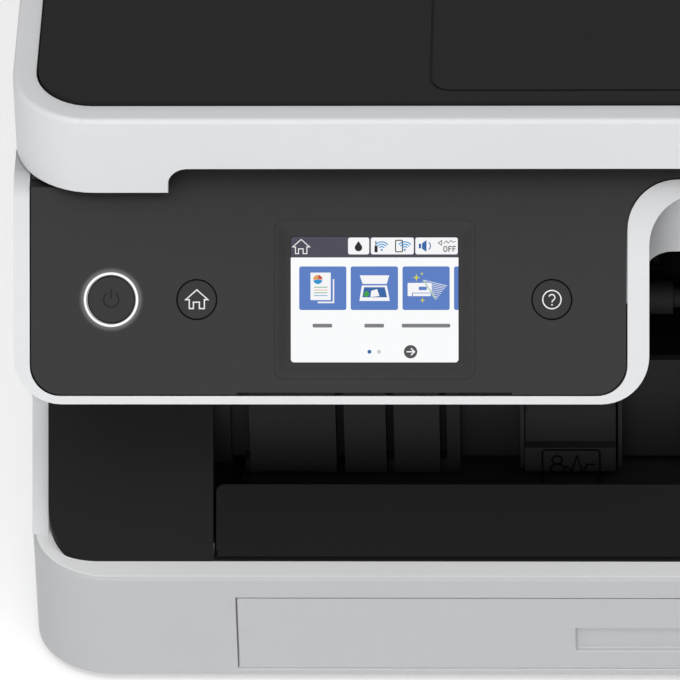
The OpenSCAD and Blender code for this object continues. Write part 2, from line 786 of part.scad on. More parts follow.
// Cap that closes the nozzles of the parked head
module capping_station() {
    color("#4a4a4a") union() {
        block([park_x - 15, rail_y - 56, head_z - 5], [park_x + 15, rail_y - 18, head_z - 2.5]);
        for (x = [-9, 9]) difference() {
            block([park_x + x - 6, rail_y - 52, head_z - 2.6],
                  [park_x + x + 6, rail_y - 22, head_z - 0.3]);
            block([park_x + x - 5, rail_y - 51, head_z - 2], [park_x + x + 5, rail_y - 23, head_z]);
        }
    }
}

// Tray for waste ink, pushed in from the back
module maintenance_box() {
    x1 = waste_x + waste_w;
    z = ledge_z + 15;
    color("#3c3c3c") union() {
        difference() {
            block([waste_x, waste_y, z], [x1, rear_y - 1, z + 42]);
            block([waste_x + 3, waste_y + 3, z + 4], [x1 - 3, rear_y - 6, z + 43]);
        }
        block([waste_x, rear_y - 2, z], [x1, rear_y, z + 44]);
    }
}

// Rear cover with the ribs that turn the paper
module rear_cover() {
    low = rear_cover_z + 9;
    high = rear_cover_top - 10;
    color("whitesmoke") union() {
        block([-rear_cover_half, rear_y - 3, rear_cover_z],
              [rear_cover_half, rear_y, rear_cover_top]);
        for (i = [-4:4]) side_profile(i * 24 - 1, i * 24 + 1,
            [[rear_y - 2.9, low], [rear_y - 9, low + 6], [rear_y - 12, low + 20],
             [rear_y - 12, high - 20], [rear_y - 9, high - 6], [rear_y - 2.9, high]]);
        bar_x(-rear_cover_half - 5, rear_cover_half + 5, cover_hinge_y, cover_hinge_z, cover_pin);
    }
}

// Mains inlet with its two pins
module power_inlet() {
    color("#151515") union() {
        difference() {
            block([inlet_x - 13.6, rear_y - 18, inlet_z - 11.6],
                  [inlet_x + 13.6, rear_y - 0.5, inlet_z + 11.6]);
            block([inlet_x - 9, rear_y - 14, inlet_z - 5.5],
                  [inlet_x + 9, rear_y + 1, inlet_z + 5.5]);
        }
        for (x = [-4.3, 4.3]) bar_y(rear_y - 15, rear_y - 4, inlet_x + x, inlet_z, 1.2);
    }
}

// Square data socket
module usb_port() {
    color("silver") difference() {
        block([usb_x - 7.6, rear_y - 16, usb_z - 7.6], [usb_x + 7.6, rear_y - 0.5, usb_z + 7.6]);
        block([usb_x - 4.5, rear_y - 14, usb_z - 4.5], [usb_x + 4.5, rear_y + 1, usb_z + 4.5]);
    }
}

// Main circuit board on its posts at the left side
module main_board() {
    y = rear_y - 153.5;
    z = ledge_z + 21;
    top = rear_cover_top;
    color("darkgreen") union() {
        block([board_x - 0.8, y, z], [board_x + 0.8, y + 120, top]);
        for (post_y = [y + 6, y + 114], post_z = [z + 6, top - 6])
            bar_x(-half_w + shell, board_x, post_y, post_z, 2.5);
        block([board_x, y + 30, z + 28], [board_x + 3, y + 60, z + 58]);
        block([board_x, y + 75, z + 33], [board_x + 2.5, y + 92, z + 50]);
        block([board_x, y + 8, z + 14], [board_x + 6, y + 16, z + 42]);
        block([board_x, y + 80, z + 10], [board_x + 7, y + 110, z + 18]);
    }
}

// Power supply in its case
module power_supply() {
    z = ledge_z + 59;
    color("#2f2f2f") difference() {
        block([supply_x, supply_y, deck_z], [supply_x + 24, supply_y + 95, z]);
        for (i = [0:8]) {
            y = supply_y + 5 + i * 10;
            block([supply_x + 7, y, z - 2], [supply_x + 17, y + 5, z + 1]);
        }
    }
}

// ---- Scanner and lid ----

// White rim and skirt of the scanner, notched in front as a grip
module scanner_housing() {
    color("whitesmoke") difference() {
        translate([0, 0, skirt_z]) linear_extrude(skirt_h)
            plan(-half_w, scan_y, half_w, rear_y, front_r, rear_r);
        translate([0, 0, skirt_z - 1]) linear_extrude(skirt_h - shell + 1)
            plan(-half_w + shell, scan_y + shell, half_w - shell, rear_y - shell,
                 front_r - shell, rear_r - shell);
        translate([0, 0, skirt_z]) linear_extrude(skirt_h + 1)
            plan(-half_w + rim_w, lid_y, half_w - rim_w, rear_y - 3.4, front_r - rim_w, 3);
        translate([0, scan_y - 1, 0]) rotate([90, 0, 0]) mirror([0, 0, 1])
            linear_extrude(shell + 2)
                rounded(-notch_half, skirt_z - 20, notch_half, skirt_z + notch_h, notch_r);
    }
    color("whitesmoke") for (s = [-1, 1]) {
        block([s * lift_x - 4, lift_y - 3.5, skirt_z - 1],
              [s * lift_x + 4, rear_y - 1, skirt_z + 8]);
        bar_x(s * (lift_x + 4) - 7.5, s * (lift_x + 4) + 7.5, lift_y, lift_z, 2.5);
    }
}

// Tray under the glass, with the rail and belt of the scan bar
module scanner_base() {
    low = scan_low;
    gx = glass_w / 2;
    gy = glass_y;
    color("#3d3d3d") difference() {
        union() {
            block([-half_w + 9, lid_y + 20, low], [half_w - 9, gy + glass_d + 12, glass_z - 2]);
            translate([0, 0, glass_z - 2.4]) linear_extrude(2.4)
                plan(-half_w + shell + 0.2, scan_y + shell + 0.2, half_w - shell - 0.2,
                     rear_y - 12.5, front_r - shell, 4);
            for (x = [-129, -111, 111, 129]) {
                bar_x(x - 2, x + 2, lid_hinge_y, lid_hinge_z, 3.6);
                block([x - 2, lid_hinge_y - 3.4, glass_z - 1],
                      [x + 2, lid_hinge_y + 3.4, lid_hinge_z]);
            }
        }
        for (x = [-132, 108]) bar_x(x, x + 24, lid_hinge_y, lid_hinge_z, 2 + bearing);
        block([-gx - 14, lid_y + 22, low + 1.5], [gx + 14, gy + glass_d + 10, glass_z - glass_t]);
        block([-gx - 0.1, gy - 0.1, glass_z - glass_t],
              [gx + 0.1, gy + glass_d + 0.1, glass_z + 1]);
    }
    color("silver") bar_x(-gx - 14, gx + 14, gy + glass_d / 2, low + 4, 2);
}

// Glass that the page lies on
module scan_glass() {
    gy = glass_y;
    color([0.75, 0.9, 0.88, 0.5])
        block([-glass_w / 2, gy, glass_z - glass_t], [glass_w / 2, gy + glass_d, glass_z]);
}

// Contact image sensor bar on its rail
module scan_bar() {
    low = scan_low;
    gy = glass_y;
    x = -glass_w / 2 - 12;
    color("#262626") difference() {
        block([x, gy + 10, low + 2.2], [x + 16, gy + glass_d - 4, glass_z - glass_t - 0.6]);
        bar_x(x - 1, x + 17, gy + glass_d / 2, low + 4, 2 + bearing);
        block([x - 1, gy + glass_d / 2 - 2 - bearing, low],
              [x + 17, gy + glass_d / 2 + 2 + bearing, low + 4]);
    }
}

// Black document lid with its hinge arms
module lid_shell() {
    g = seam + 0.2;
    top = body_h;
    low = glass_z + 0.4;
    color("#292929") difference() {
        union() {
            translate([0, 0, top - 5]) linear_extrude(5)
                plan(-half_w + rim_w + g, lid_y + g, half_w - rim_w - g, rear_y - 9,
                     front_r - rim_w - g, 3);
            translate([0, 0, low]) linear_extrude(top - low - 2)
                plan(-half_w + rim_w + g, lid_y + g, half_w - rim_w - g, rear_y - 22,
                     front_r - rim_w - g, 3);
        }
        translate([0, 0, low - 1]) linear_extrude(top - low - 2)
            plan(-half_w + rim_w + g + 2, lid_y + g + 2, half_w - rim_w - g - 2, rear_y - 24,
                 front_r - rim_w - g - 2, 2);
        translate([0, 0, top - 0.6]) linear_extrude(2) difference() {
            rounded(-66, lid_y + 5, 66, lid_y + 60, 6);
            rounded(-65.2, lid_y + 5.8, 65.2, lid_y + 59.2, 5.4);
        }
    }
    color("#292929") for (s = [-1, 1]) {
        block([s * 120 - 6, lid_hinge_y - 2.8, lid_hinge_z],
              [s * 120 + 6, lid_hinge_y + 2.8, top - 4.5]);
        bar_x(s * 120 - 6, s * 120 + 6, lid_hinge_y, lid_hinge_z, 2.8);
        bar_x(s * 120 - 10.8, s * 120 + 10.8, lid_hinge_y, lid_hinge_z, 2);
    }
}

// White foam pad that presses the page on the glass
module lid_pad() {
    gy = glass_y;
    low = glass_z + 0.4;
    color("white") translate([0, 0, low]) linear_extrude(body_h - 3 - low)
        rounded(-glass_w / 2 - 3, gy - 3, glass_w / 2 + 3, gy + glass_d + 3, 4);
}

// ---- Control panel ----

// Black face with the screen's recess, the button holes and the wing over the arch
module panel_face() {
    sx = screen_w / 2 + screen_border;
    sy = screen_h / 2 + screen_border;
    color("#3b3b3b") difference() {
        on_panel() difference() {
            union() {
                translate([0, 0, -face_t]) linear_extrude(face_t) panel_outline(0);
                bar_x(panel_left - 3, post_right + 5, panel_hinge_u, -panel_hinge_n, pin_r);
            }
            translate([screen_x, 0, -screen_sink]) linear_extrude(face_t)
                rounded(-sx, -sy, sx, sy, 3);
            translate([screen_x, 0, -face_t - 1]) linear_extrude(face_t + 2)
                rounded(-screen_w / 2 - 0.2, -screen_h / 2 - 0.2, screen_w / 2 + 0.2,
                        screen_h / 2 + 0.2, 1);
            translate([power_x, 0, -face_t - 1]) cylinder(r = power_r + bearing, h = face_t + 2);
            for (x = [home_x, help_x]) translate([x, 0, -face_t - 1])
                cylinder(r = button_r + running, h = face_t + 2);
            translate([screen_x - 40, -panel_drop - 0.1, -face_t - 1]) cube([80, 0.7, face_t + 2]);
        }
        difference() {
            block([-half_w - 1, front_y, body_top - 1.3], [-160, 0, body_h]);
            on_panel() bar_x(panel_left - 3, -150, panel_hinge_u, -panel_hinge_n, pin_r);
        }
    }
}

// Tray behind the face with the circuit board of the buttons
module panel_back() {
    t = panel_tray_t;
    x0 = panel_left + 3;
    x1 = panel_right - 2;
    color("#2a2a2a") on_panel() difference() {
        translate([0, 0, -face_t - t]) linear_extrude(t)
            rounded(x0, -panel_drop + 2, x1, 24, 5);
        translate([0, 0, -face_t - t + 1.5]) linear_extrude(t)
            rounded(x0 + 1.5, -panel_drop + 3.5, x1 - 1.5, 22.5, 4);
    }
}

// Touch screen, seated in the face and standing on the tray
module touch_screen() {
    color("#dfe6f0") on_panel() union() {
        translate([screen_x, 0, -face_t]) linear_extrude(face_t - screen_sink - 0.2)
            rounded(-screen_w / 2, -screen_h / 2, screen_w / 2, screen_h / 2, 0.8);
        translate([screen_x - 20, -14, -face_t - panel_tray_t + 1.5])
            cube([40, 28, panel_tray_t - 1.5]);
    }
}

// Push button: a cap, a wider foot behind the face and a stem
module round_button(x, r) {
    color("#333333") on_panel() translate([x, 0, 0]) union() {
        translate([0, 0, -face_t]) cylinder(r = r, h = face_t - 0.25);
        translate([0, 0, -face_t - 1.2]) cylinder(r = r - 0.6, h = 1.3);
        translate([0, 0, -face_t - panel_tray_t + 1.8 + button_travel])
            cylinder(r = 2, h = panel_tray_t - 2.5 - button_travel);
    }
}

module power_button() {
    round_button(power_x, power_r - power_band - running);
}

module home_button() {
    round_button(home_x, button_r);
}

module help_button() {
    round_button(help_x, button_r);
}

// Light ring round the power button
module power_ring() {
    color("white") on_panel() translate([power_x, 0, 0]) difference() {
        translate([0, 0, -face_t]) cylinder(r = power_r, h = face_t + 0.1);
        translate([0, 0, -face_t - 1]) cylinder(r = power_r - power_band, h = face_t + 2);
    }
}

// ---- Ink ----

// Four joined ink chambers with a filler neck each
module ink_tank() {
    color([0.85, 0.88, 0.9, 0.6]) union() {
        for (i = [0:3]) {
            x = tank_x + i * ink_pitch;
            block([x, tank_y, tank_base], [x + ink_pitch - 0.6, tank_y + 58, tank_top]);
            translate([x + ink_pitch / 2 - 0.3, tank_y + 9, tank_top])
                cylinder(r = cap_r - 1.4, h = 1.2);
            difference() {
                union() for (s = [-1, 1])
                    block([x + ink_pitch / 2 - 0.3 + s * 3.5 - 1, tank_y + 17.7, tank_top],
                          [x + ink_pitch / 2 - 0.3 + s * 3.5 + 1, tank_y + 21.3, tank_top + 7]);
                bar_x(x - 1, x + ink_pitch, tank_y + 19.5, tank_top + 5, 0.8 + bearing);
            }
        }
        block([tank_x, tank_y + 1, tank_base],
              [tank_x + 4 * ink_pitch - 0.6, tank_y + 56, tank_base + 4]);
        block([tank_x + 2, tank_y + 10, deck_z], [tank_x + 44, tank_y + 50, tank_base + 0.1]);
    }
}

// Flip cap of one ink chamber, hinged behind the neck
module filler_cap(i) {
    x = tank_x + (i + 0.5) * ink_pitch - 0.3;
    color(["#222222", "deepskyblue", "deeppink", "gold"][i]) union() {
        difference() {
            translate([x, tank_y + 9, tank_top + 0.4]) cylinder(r = cap_r, h = 6);
            translate([x, tank_y + 9, tank_top]) cylinder(r = cap_r - 1.4 + 2 * running, h = 2);
        }
        block([x - 1.6, tank_y + 12, tank_top + 3.7], [x + 1.6, tank_y + 21, tank_top + 6.3]);
        bar_x(x - 4.2, x + 4.2, tank_y + 19.5, tank_top + 5, 0.8);
    }
}

module filler_cap_1() {
    filler_cap(0);
}

module filler_cap_2() {
    filler_cap(1);
}

module filler_cap_3() {
    filler_cap(2);
}

module filler_cap_4() {
    filler_cap(3);
}

// Fold-down cover in front of the ink caps
module tank_cover() {
    color("whitesmoke") on_panel() union() {
        translate([0, 0, -face_t]) linear_extrude(face_t)
            plan(tank_left + 7.5, tank_lid_u - 1.5, half_w - fascia_side - 0.5, 29.5, 1.5, 5.5);
        bar_x(tank_left + 4.4, tank_left + 10, tank_lid_u, -tank_lid_n, 1);
        bar_x(half_w - fascia_side - 3, half_w - fascia_side + 2.6, tank_lid_u, -tank_lid_n, 1);
    }
}

// ---- Paper trays ----

// Inner stage of the output tray, on two runners
module output_tray() {
    y0 = bay_y - 14;
    y1 = black_y + tray_len;
    color("#202020") union() {
        block([-bay_half + 6, y0, tray_z], [bay_half - 6, y1, tray_z + tray_t]);
        for (s = [-1, 1]) block([s * (bay_half - 7) - 1, y0, deck_z + 0.4],
                                [s * (bay_half - 7) + 1, y1, tray_z + 1]);
    }
}

// Outer stage of the output tray, with the lugs of the front flap
module tray_extension() {
    z = tray_z + tray_t + 0.2;
    y0 = flap_y + 8.5;
    color("#1d1d1d") difference() {
        union() {
            block([-bay_half + 9, y0, z], [bay_half - 9, y0 + ext_len, z + 1.6]);
            for (x = [-flap_lug, flap_lug]) {
                bar_x(x - 2, x + 2, flap_y, flap_z, flap_t / 2);
                side_profile(x - 2, x + 2, [[flap_y, flap_z - flap_t / 2],
                                            [flap_y + 4.5, flap_z + 0.2], [y0 + 1, z - 0.8],
                                            [y0 + 4, z + 1], [y0, z + 1],
                                            [flap_y + 4.1, flap_z + 2], [flap_y + 1, flap_z + 1]]);
            }
        }
        for (x = [-flap_lug, flap_lug])
            bar_x(x - 4, x + 4, flap_y, flap_z, flap_pin + bearing);
    }
}

// Front flap that stops the sheets, folding forward and down
module tray_stopper() {
    up = slope_rise / norm([slope_run, slope_rise]);
    back = slope_run / norm([slope_run, slope_rise]);
    r = flap_t / 2;
    foot = [flap_y, flap_z];
    tip = foot + flap_len * [back, up];
    w = cover_in - 0.8;
    color("#1d1d1d") difference() {
        union() {
            side_profile(-w, w, [foot + r * [-up, back], tip + r * [-up, back],
                                 tip - r * [-up, back], foot - r * [-up, back]]);
            bar_x(-w, w, flap_y, flap_z, r);
        }
        for (x = [-flap_lug, flap_lug]) difference() {
            block([x - 2.4, flap_y - 3, flap_z - 3], [x + 2.4, flap_y + 8, flap_z + 2.6]);
            bar_x(x - 3, x + 3, flap_y, flap_z, flap_pin);
        }
    }
}

// Paper cassette with its white front
module cassette_tray() {
    y0 = base_y;
    z = cassette_z;
    y1 = y0 + cassette_d;
    color("gainsboro") difference() {
        union() {
            block([-cassette_half, y0, z], [cassette_half, y0 + 3, z + cassette_h]);
            block([-cassette_half + 4, y0 + 2, z], [cassette_half - 4, y1, z + cassette_h - 3]);
        }
        block([-cassette_half + 6, y0 + 5, z + 2], [cassette_half - 6, y1 - 2, z + cassette_h]);
        block([-24, y0 - 1, z + 7], [24, y0 + 1.6, z + 16]);
    }
}

// Upright guide for the sheet's edge, with a rack along to the pinion
module edge_guide(rack_y) {
    z = cassette_z + 2.3;
    block([-sheet_half - 2.4, -60, z + 4], [-sheet_half - 0.2, 40, z + 17]);
    block([-sheet_half - 7, rack_y - 3, z], [-sheet_half - 0.2, rack_y + 3, z + 4.5]);
    block([-sheet_half - 2, rack_y - 2, z], [guide_travel - 4, rack_y + 2, z + 3]);
}

module edge_guide_left() {
    color("gray") edge_guide(guide_mid_y - guide_pinion_r - running - 2);
}

module edge_guide_right() {
    color("gray") mirror([1, 0, 0]) edge_guide(guide_mid_y + guide_pinion_r + running + 2);
}

// Pinion that makes both edge guides move together
module guide_pinion() {
    color("white") translate([0, guide_mid_y, cassette_z + 2.1]) cylinder(r = guide_pinion_r, h = 3);
}

// Guide behind the sheet
module end_guide() {
    z = cassette_z + 2.3;
    y = base_y + cassette_d - 8;
    color("gray") union() {
        block([-19, y, z], [19, y + 2, z + 16]);
        block([-12, y - 10, z], [12, y + 1, z + 2]);
    }
}

base_cover();
base_chassis();
feet();
left_side_cover();
right_side_cover();
rear_panel();
front_fascia();
front_left_cover();
front_right_cover();
output_throat();
platen();
guide_rail();
encoder_strip();
carriage();
print_head();
ink_tubes();
carriage_belt();
carriage_motor();
drive_pulley();
idler_pulley();
feed_roller();
middle_gear();
eject_roller();
feed_motor();
pickup_arm();
pickup_roller();
capping_station();
maintenance_box();
rear_cover();
power_inlet();
usb_port();
main_board();
power_supply();
scanner_housing();
scanner_base();
scan_glass();
scan_bar();
lid_shell();
lid_pad();
panel_face();
panel_back();
touch_screen();
power_button();
power_ring();
home_button();
help_button();
ink_tank();
tank_cover();
filler_cap_1();
filler_cap_2();
filler_cap_3();
filler_cap_4();
output_tray();
tray_extension();
tray_stopper();
cassette_tray();
edge_guide_left();
edge_guide_right();
end_guide();
guide_pinion();
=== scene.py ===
import json
import math

import bmesh
import bpy
from mathutils import Matrix, Vector

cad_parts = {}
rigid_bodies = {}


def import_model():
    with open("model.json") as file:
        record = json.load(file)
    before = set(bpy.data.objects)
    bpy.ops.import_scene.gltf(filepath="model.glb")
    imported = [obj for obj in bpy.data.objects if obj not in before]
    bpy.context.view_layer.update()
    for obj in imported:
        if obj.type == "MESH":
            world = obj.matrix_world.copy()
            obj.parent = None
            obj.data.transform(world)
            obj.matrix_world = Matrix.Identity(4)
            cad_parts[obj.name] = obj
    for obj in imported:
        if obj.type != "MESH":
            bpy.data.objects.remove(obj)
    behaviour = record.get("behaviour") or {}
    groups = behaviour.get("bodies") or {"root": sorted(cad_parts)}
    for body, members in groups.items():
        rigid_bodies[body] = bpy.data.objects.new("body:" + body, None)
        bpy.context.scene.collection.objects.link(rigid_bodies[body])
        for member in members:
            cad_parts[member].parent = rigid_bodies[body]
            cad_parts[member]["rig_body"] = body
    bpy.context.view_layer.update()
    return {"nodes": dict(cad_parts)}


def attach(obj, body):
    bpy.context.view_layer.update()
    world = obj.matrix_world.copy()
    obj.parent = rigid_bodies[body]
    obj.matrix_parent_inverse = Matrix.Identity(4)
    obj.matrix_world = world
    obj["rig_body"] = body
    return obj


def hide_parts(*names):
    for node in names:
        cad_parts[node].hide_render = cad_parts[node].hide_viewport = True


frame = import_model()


# ---- Rubber feet ----
# Four round feet of soft black rubber, each pressed into a recess of the base. They are the
# only faces that touch the table. Their rims are rounded and their skin is dull.

ROUGH_SPREAD, GRAIN_HEIGHT, CLOUD_SCALE = 0.04, 0.0002, 38
WELD, FLAT_ANGLE, SHARP_ANGLE = 2e-6, math.radians(0.4), math.radians(32)


def tone(red, green, blue):
    """The colour of a paint chip given on the usual 0 to 255 scale."""
    level = [v / 255 for v in (red, green, blue)]
    return [v / 12.92 if v < 0.04045 else ((v + 0.055) / 1.055) ** 2.4 for v in level] + [1.0]


def wiring(finish):
    """The nodes of a finish, the links between them and its main shader."""
    tree = finish.node_tree
    return tree.nodes, tree.links, tree.nodes["Principled BSDF"]


def plastic(name, colour, rough, grain=2400, depth=0.1, mottle=0.04, shine=0.5, painted_shade_reach=0):
    """Moulded plastic: a fine eroded grain over a colour and a gloss that wander a little.

    With a distance for painted shade, the colour is darkened as painted shade where other pieces
    stand closer than that.
    """
    finish = bpy.data.materials.new(name)
    finish.use_nodes = True
    nodes, links, shader = wiring(finish)
    shader.inputs["Specular IOR Level"].default_value = shine
    place = nodes.new("ShaderNodeTexCoord")
    grit = nodes.new("ShaderNodeTexNoise")
    grit.inputs["Scale"].default_value = grain
    grit.inputs["Detail"].default_value = 2
    cloud = nodes.new("ShaderNodeTexNoise")
    cloud.inputs["Scale"].default_value = CLOUD_SCALE
    cloud.inputs["Detail"].default_value = 4
    blend = nodes.new("ShaderNodeMix")
    blend.data_type = "RGBA"
    blend.inputs[6].default_value = [v * (1 - mottle) for v in colour[:3]] + [1]
    blend.inputs[7].default_value = [min(1, v * (1 + mottle)) for v in colour[:3]] + [1]
    gloss = nodes.new("ShaderNodeMapRange")
    gloss.inputs["To Min"].default_value = rough - ROUGH_SPREAD
    gloss.inputs["To Max"].default_value = rough + ROUGH_SPREAD
    relief = nodes.new("ShaderNodeBump")
    relief.inputs["Strength"].default_value = depth
    relief.inputs["Distance"].default_value = GRAIN_HEIGHT
    links.new(place.outputs["Object"], grit.inputs["Vector"])
    links.new(place.outputs["Object"], cloud.inputs["Vector"])
    links.new(cloud.outputs["Fac"], blend.inputs["Factor"])
    links.new(blend.outputs[2], shader.inputs["Base Color"])
    # Painted shade: an occlusion node darkens the colour where other pieces stand close.
    if painted_shade_reach:
        dim = nodes.new("ShaderNodeAmbientOcclusion")
        dim.samples = 8
        dim.inputs["Distance"].default_value = painted_shade_reach
        links.new(blend.outputs[2], dim.inputs["Color"])
        links.new(dim.outputs["Color"], shader.inputs["Base Color"])
    links.new(grit.outputs["Fac"], gloss.inputs["Value"])
    links.new(gloss.outputs["Result"], shader.inputs["Roughness"])
    links.new(grit.outputs["Fac"], relief.inputs["Height"])
    links.new(relief.outputs["Normal"], shader.inputs["Normal"])
    return finish


def soften(mesh, edges, width, steps):
    """Rounds the given edges of a mesh with an arc of that width."""
    bmesh.ops.bevel(mesh, geom=edges, offset=width, offset_type="OFFSET", segments=steps,
                    profile=0.5, affect="EDGES", clamp_overlap=True, miter_outer="ARC")


def moulded(node, finish, edge=0.0003, rounds=()):
    """A copy of a solid with whole faces and the edges that the mould leaves.

    Each of rounds is a wider arc and a test that picks the edges it runs along.
    """
    solid = frame["nodes"][node]
    mesh = bmesh.new()
    mesh.from_mesh(solid.data)
    bmesh.ops.remove_doubles(mesh, verts=mesh.verts, dist=WELD)
    bmesh.ops.dissolve_limit(mesh, angle_limit=FLAT_ANGLE, verts=mesh.verts,
                             edges=mesh.edges)
    for width, steps, picks in rounds:
        sharp = [e for e in mesh.edges
                 if e.calc_face_angle(0) > 0.5 and picks(*[v.co * 1000 for v in e.verts])]
        soften(mesh, sharp, width, steps)
    piece = bpy.data.objects.new("moulded_" + node, bpy.data.meshes.new("moulded_" + node))
    mesh.to_mesh(piece.data)
    mesh.free()
    bpy.context.scene.collection.objects.link(piece)
    piece.data.materials.append(finish)
    piece.data.shade_smooth()
    if edge:
        arris = piece.modifiers.new("arris", "BEVEL")
        arris.width = edge
        arris.segments = 2
        arris.limit_method = "ANGLE"
        arris.angle_limit = SHARP_ANGLE
        arris.use_clamp_overlap = True
    piece.data.set_sharp_from_angle(angle=SHARP_ANGLE)
    even = piece.modifiers.new("even_faces", "WEIGHTED_NORMAL")
    even.mode = "FACE_AREA"
    even.weight = 100
    even.keep_sharp = True
    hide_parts(node)
    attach(piece, solid["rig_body"])
    return piece


rubber = plastic("foot_rubber", tone(30, 30, 31), 0.8, grain=1200, depth=0.35, shine=0.3)
moulded("feet", rubber)


# ---- White base with its ledge ----
# The lower housing is one white ABS moulding with a floor, a wall all round and a ledge on
# top. The ledge's outer edge is a soft round, and the front is cut away for the cassette.

# The last of these is the strength of the emission painted as light on upward faces.
LEDGE_TOP, LEDGE_ROUND, LEDGE_PAINTED_GLOW = 41.0, 0.0013, 0.09
INNER_X, INNER_FRONT, INNER_BACK = 178.5, -150.9, 161.6

shell_white = plastic("shell_white", tone(226, 227, 229), 0.42, mottle=0.012)
# A darker copy of the shell's white, as painted shade on the base's walls; its upward faces get
# painted light below.
base_white_painted_shading = plastic("base_white_painted_shading", tone(196, 197, 199), 0.42, mottle=0.012)

# Faces that look straight up, such as the ledge, are painted lighter than the walls and given a
# faint emission: painted light.
base_nodes, base_links, base_shader = wiring(base_white_painted_shading)
facing = base_nodes.new("ShaderNodeNewGeometry")
upward = base_nodes.new("ShaderNodeSeparateXYZ")
level = base_nodes.new("ShaderNodeMapRange")
level.inputs["From Min"].default_value = 0.85
level.inputs["From Max"].default_value = 0.99
painted_glow = base_nodes.new("ShaderNodeMath")
painted_glow.operation = "MULTIPLY"
painted_glow.inputs[1].default_value = LEDGE_PAINTED_GLOW
painted_top_light = base_nodes.new("ShaderNodeMix")
painted_top_light.data_type = "RGBA"
painted_top_light.inputs[7].default_value = tone(246, 247, 248)
base_shader.inputs["Emission Color"].default_value = (1, 1, 1, 1)
wall_colour = base_shader.inputs["Base Color"].links[0].from_socket
base_links.new(facing.outputs["Normal"], upward.inputs["Vector"])
base_links.new(upward.outputs["Z"], level.inputs["Value"])
base_links.new(level.outputs["Result"], painted_top_light.inputs["Factor"])
base_links.new(level.outputs["Result"], painted_glow.inputs[0])
base_links.new(painted_glow.outputs["Value"], base_shader.inputs["Emission Strength"])
base_links.new(wall_colour, painted_top_light.inputs[6])
base_links.new(painted_top_light.outputs[2], base_shader.inputs["Base Color"])


def on_ledge_rim(a, b):
    """True for an edge of the ledge's top, apart from its inner outline."""
    inner = all(abs(v.x) < INNER_X and INNER_FRONT < v.y < INNER_BACK for v in (a, b))
    return min(a.z, b.z) > LEDGE_TOP - 0.01 and not inner


moulded("base_cover", base_white_painted_shading, edge=0.0002,
        rounds=[(LEDGE_ROUND, 4, on_ledge_rim)])


# ---- Chassis ----
# A grey-black frame of filled plastic stands on the base. Its floor plate carries two side
# plates with the roller bearings, and posts with two cross bars tie the outer covers.

frame_grey = plastic("frame_grey", tone(52, 53, 54), 0.55, grain=1500, depth=0.2)
frame_black = plastic("frame_black", tone(28, 28, 29), 0.6, grain=1500, depth=0.2, shine=0.2)
plate = moulded("base_chassis", frame_black, edge=0.0003)

# The dark lip under the flap runs out to the front covers without a gap.
LIP_BACK, LIP_END, LIP_REACH = -0.141, 0.132, 0.13255
for corner in plate.data.vertices:
    if corner.co.y < LIP_BACK and abs(abs(corner.co.x) - LIP_END) < 0.0005:
        corner.co.x = math.copysign(LIP_REACH, corner.co.x)


# ---- Paper cassette ----
# The drawer has a white front flush with the base, with a long finger grip moulded into it,
# and a light grey tub behind. Two side guides meet on a pinion, and a third guide holds the
# sheet's rear edge.

cassette_grey = plastic("guide_grey", tone(120, 122, 124), 0.5)
# A darker copy of the shell's white, as painted shade on the drawer's low front.
drawer_white_painted_shade = plastic("drawer_white_painted_shade", tone(196, 197, 199), 0.45, mottle=0.012)
moulded("cassette_tray", drawer_white_painted_shade, edge=0.0004)
for guide in ("edge_guide_left", "edge_guide_right", "end_guide"):
    moulded(guide, cassette_grey)
slide_white = plastic("slide_white", tone(222, 221, 214), 0.45)
moulded("guide_pinion", slide_white)


# ---- Paper path: pick-up roller, platen and rollers ----
# A rubber tyre on a black swing arm lifts each sheet past the rear cover's ribs. The ground
# steel feed roller and the rubber rings of the eject roller take it over a ribbed platen, and
# acetal gears join the two.

def metal(name, colour, rough, along=(1, 1, 1), depth=0.05):
    """Bare metal with fine scratches that run along one way."""
    finish = plastic(name, colour, rough, grain=900, depth=depth, mottle=0.06)
    nodes, links, shader = wiring(finish)
    shader.inputs["Metallic"].default_value = 1.0
    stretch = nodes.new("ShaderNodeMapping")
    stretch.inputs["Scale"].default_value = along
    links.new(nodes["Texture Coordinate"].outputs["Object"], stretch.inputs["Vector"])
    links.new(stretch.outputs["Vector"], nodes["Noise Texture"].inputs["Vector"])
    return finish


inner_black = plastic("inner_black", tone(24, 24, 25), 0.5, grain=1500, depth=0.15, shine=0.25)
ground_steel = metal("ground_steel", tone(198, 199, 201), 0.28, along=(0.05, 1, 1))
roller_rubber = plastic("roller_rubber", tone(40, 40, 41), 0.75, grain=1600, depth=0.4,
                        shine=0.3)
moulded("pickup_arm", inner_black)
moulded("pickup_roller", roller_rubber)
moulded("platen", inner_black, edge=0.0002)
moulded("feed_roller", ground_steel, edge=0.0002)
moulded("middle_gear", slide_white)
moulded("eject_roller", roller_rubber, edge=0.0002)


# ---- Print works ----
# The carriage hangs on a folded steel rail and is pulled by a toothed belt between two
# pulleys. It carries the print head and four dampers that the ribbon of ink tubes fills. The
# parked head is closed by the capping station, over the box for waste ink.

sheet_steel = metal("sheet_steel", tone(178, 180, 182), 0.4, along=(0.1, 1, 1))
motor_can = metal("motor_can", tone(150, 151, 153), 0.35, along=(1, 0.1, 1))
tube_plastic = plastic("tube_plastic", tone(150, 156, 166), 0.35)
moulded("guide_rail", sheet_steel, edge=0.0002)
moulded("encoder_strip", tube_plastic, edge=0)
moulded("carriage", inner_black)
moulded("print_head", frame_grey)
moulded("ink_tubes", tube_plastic, edge=0)
moulded("carriage_belt", roller_rubber, edge=0)
moulded("carriage_motor", motor_can)
brass = metal("brass", tone(196, 160, 92), 0.3)
moulded("drive_pulley", brass, edge=0.0002)
moulded("idler_pulley", slide_white, edge=0.0002)
moulded("feed_motor", motor_can)
moulded("capping_station", frame_grey, edge=0.0002)
moulded("maintenance_box", inner_black, edge=0.0005)


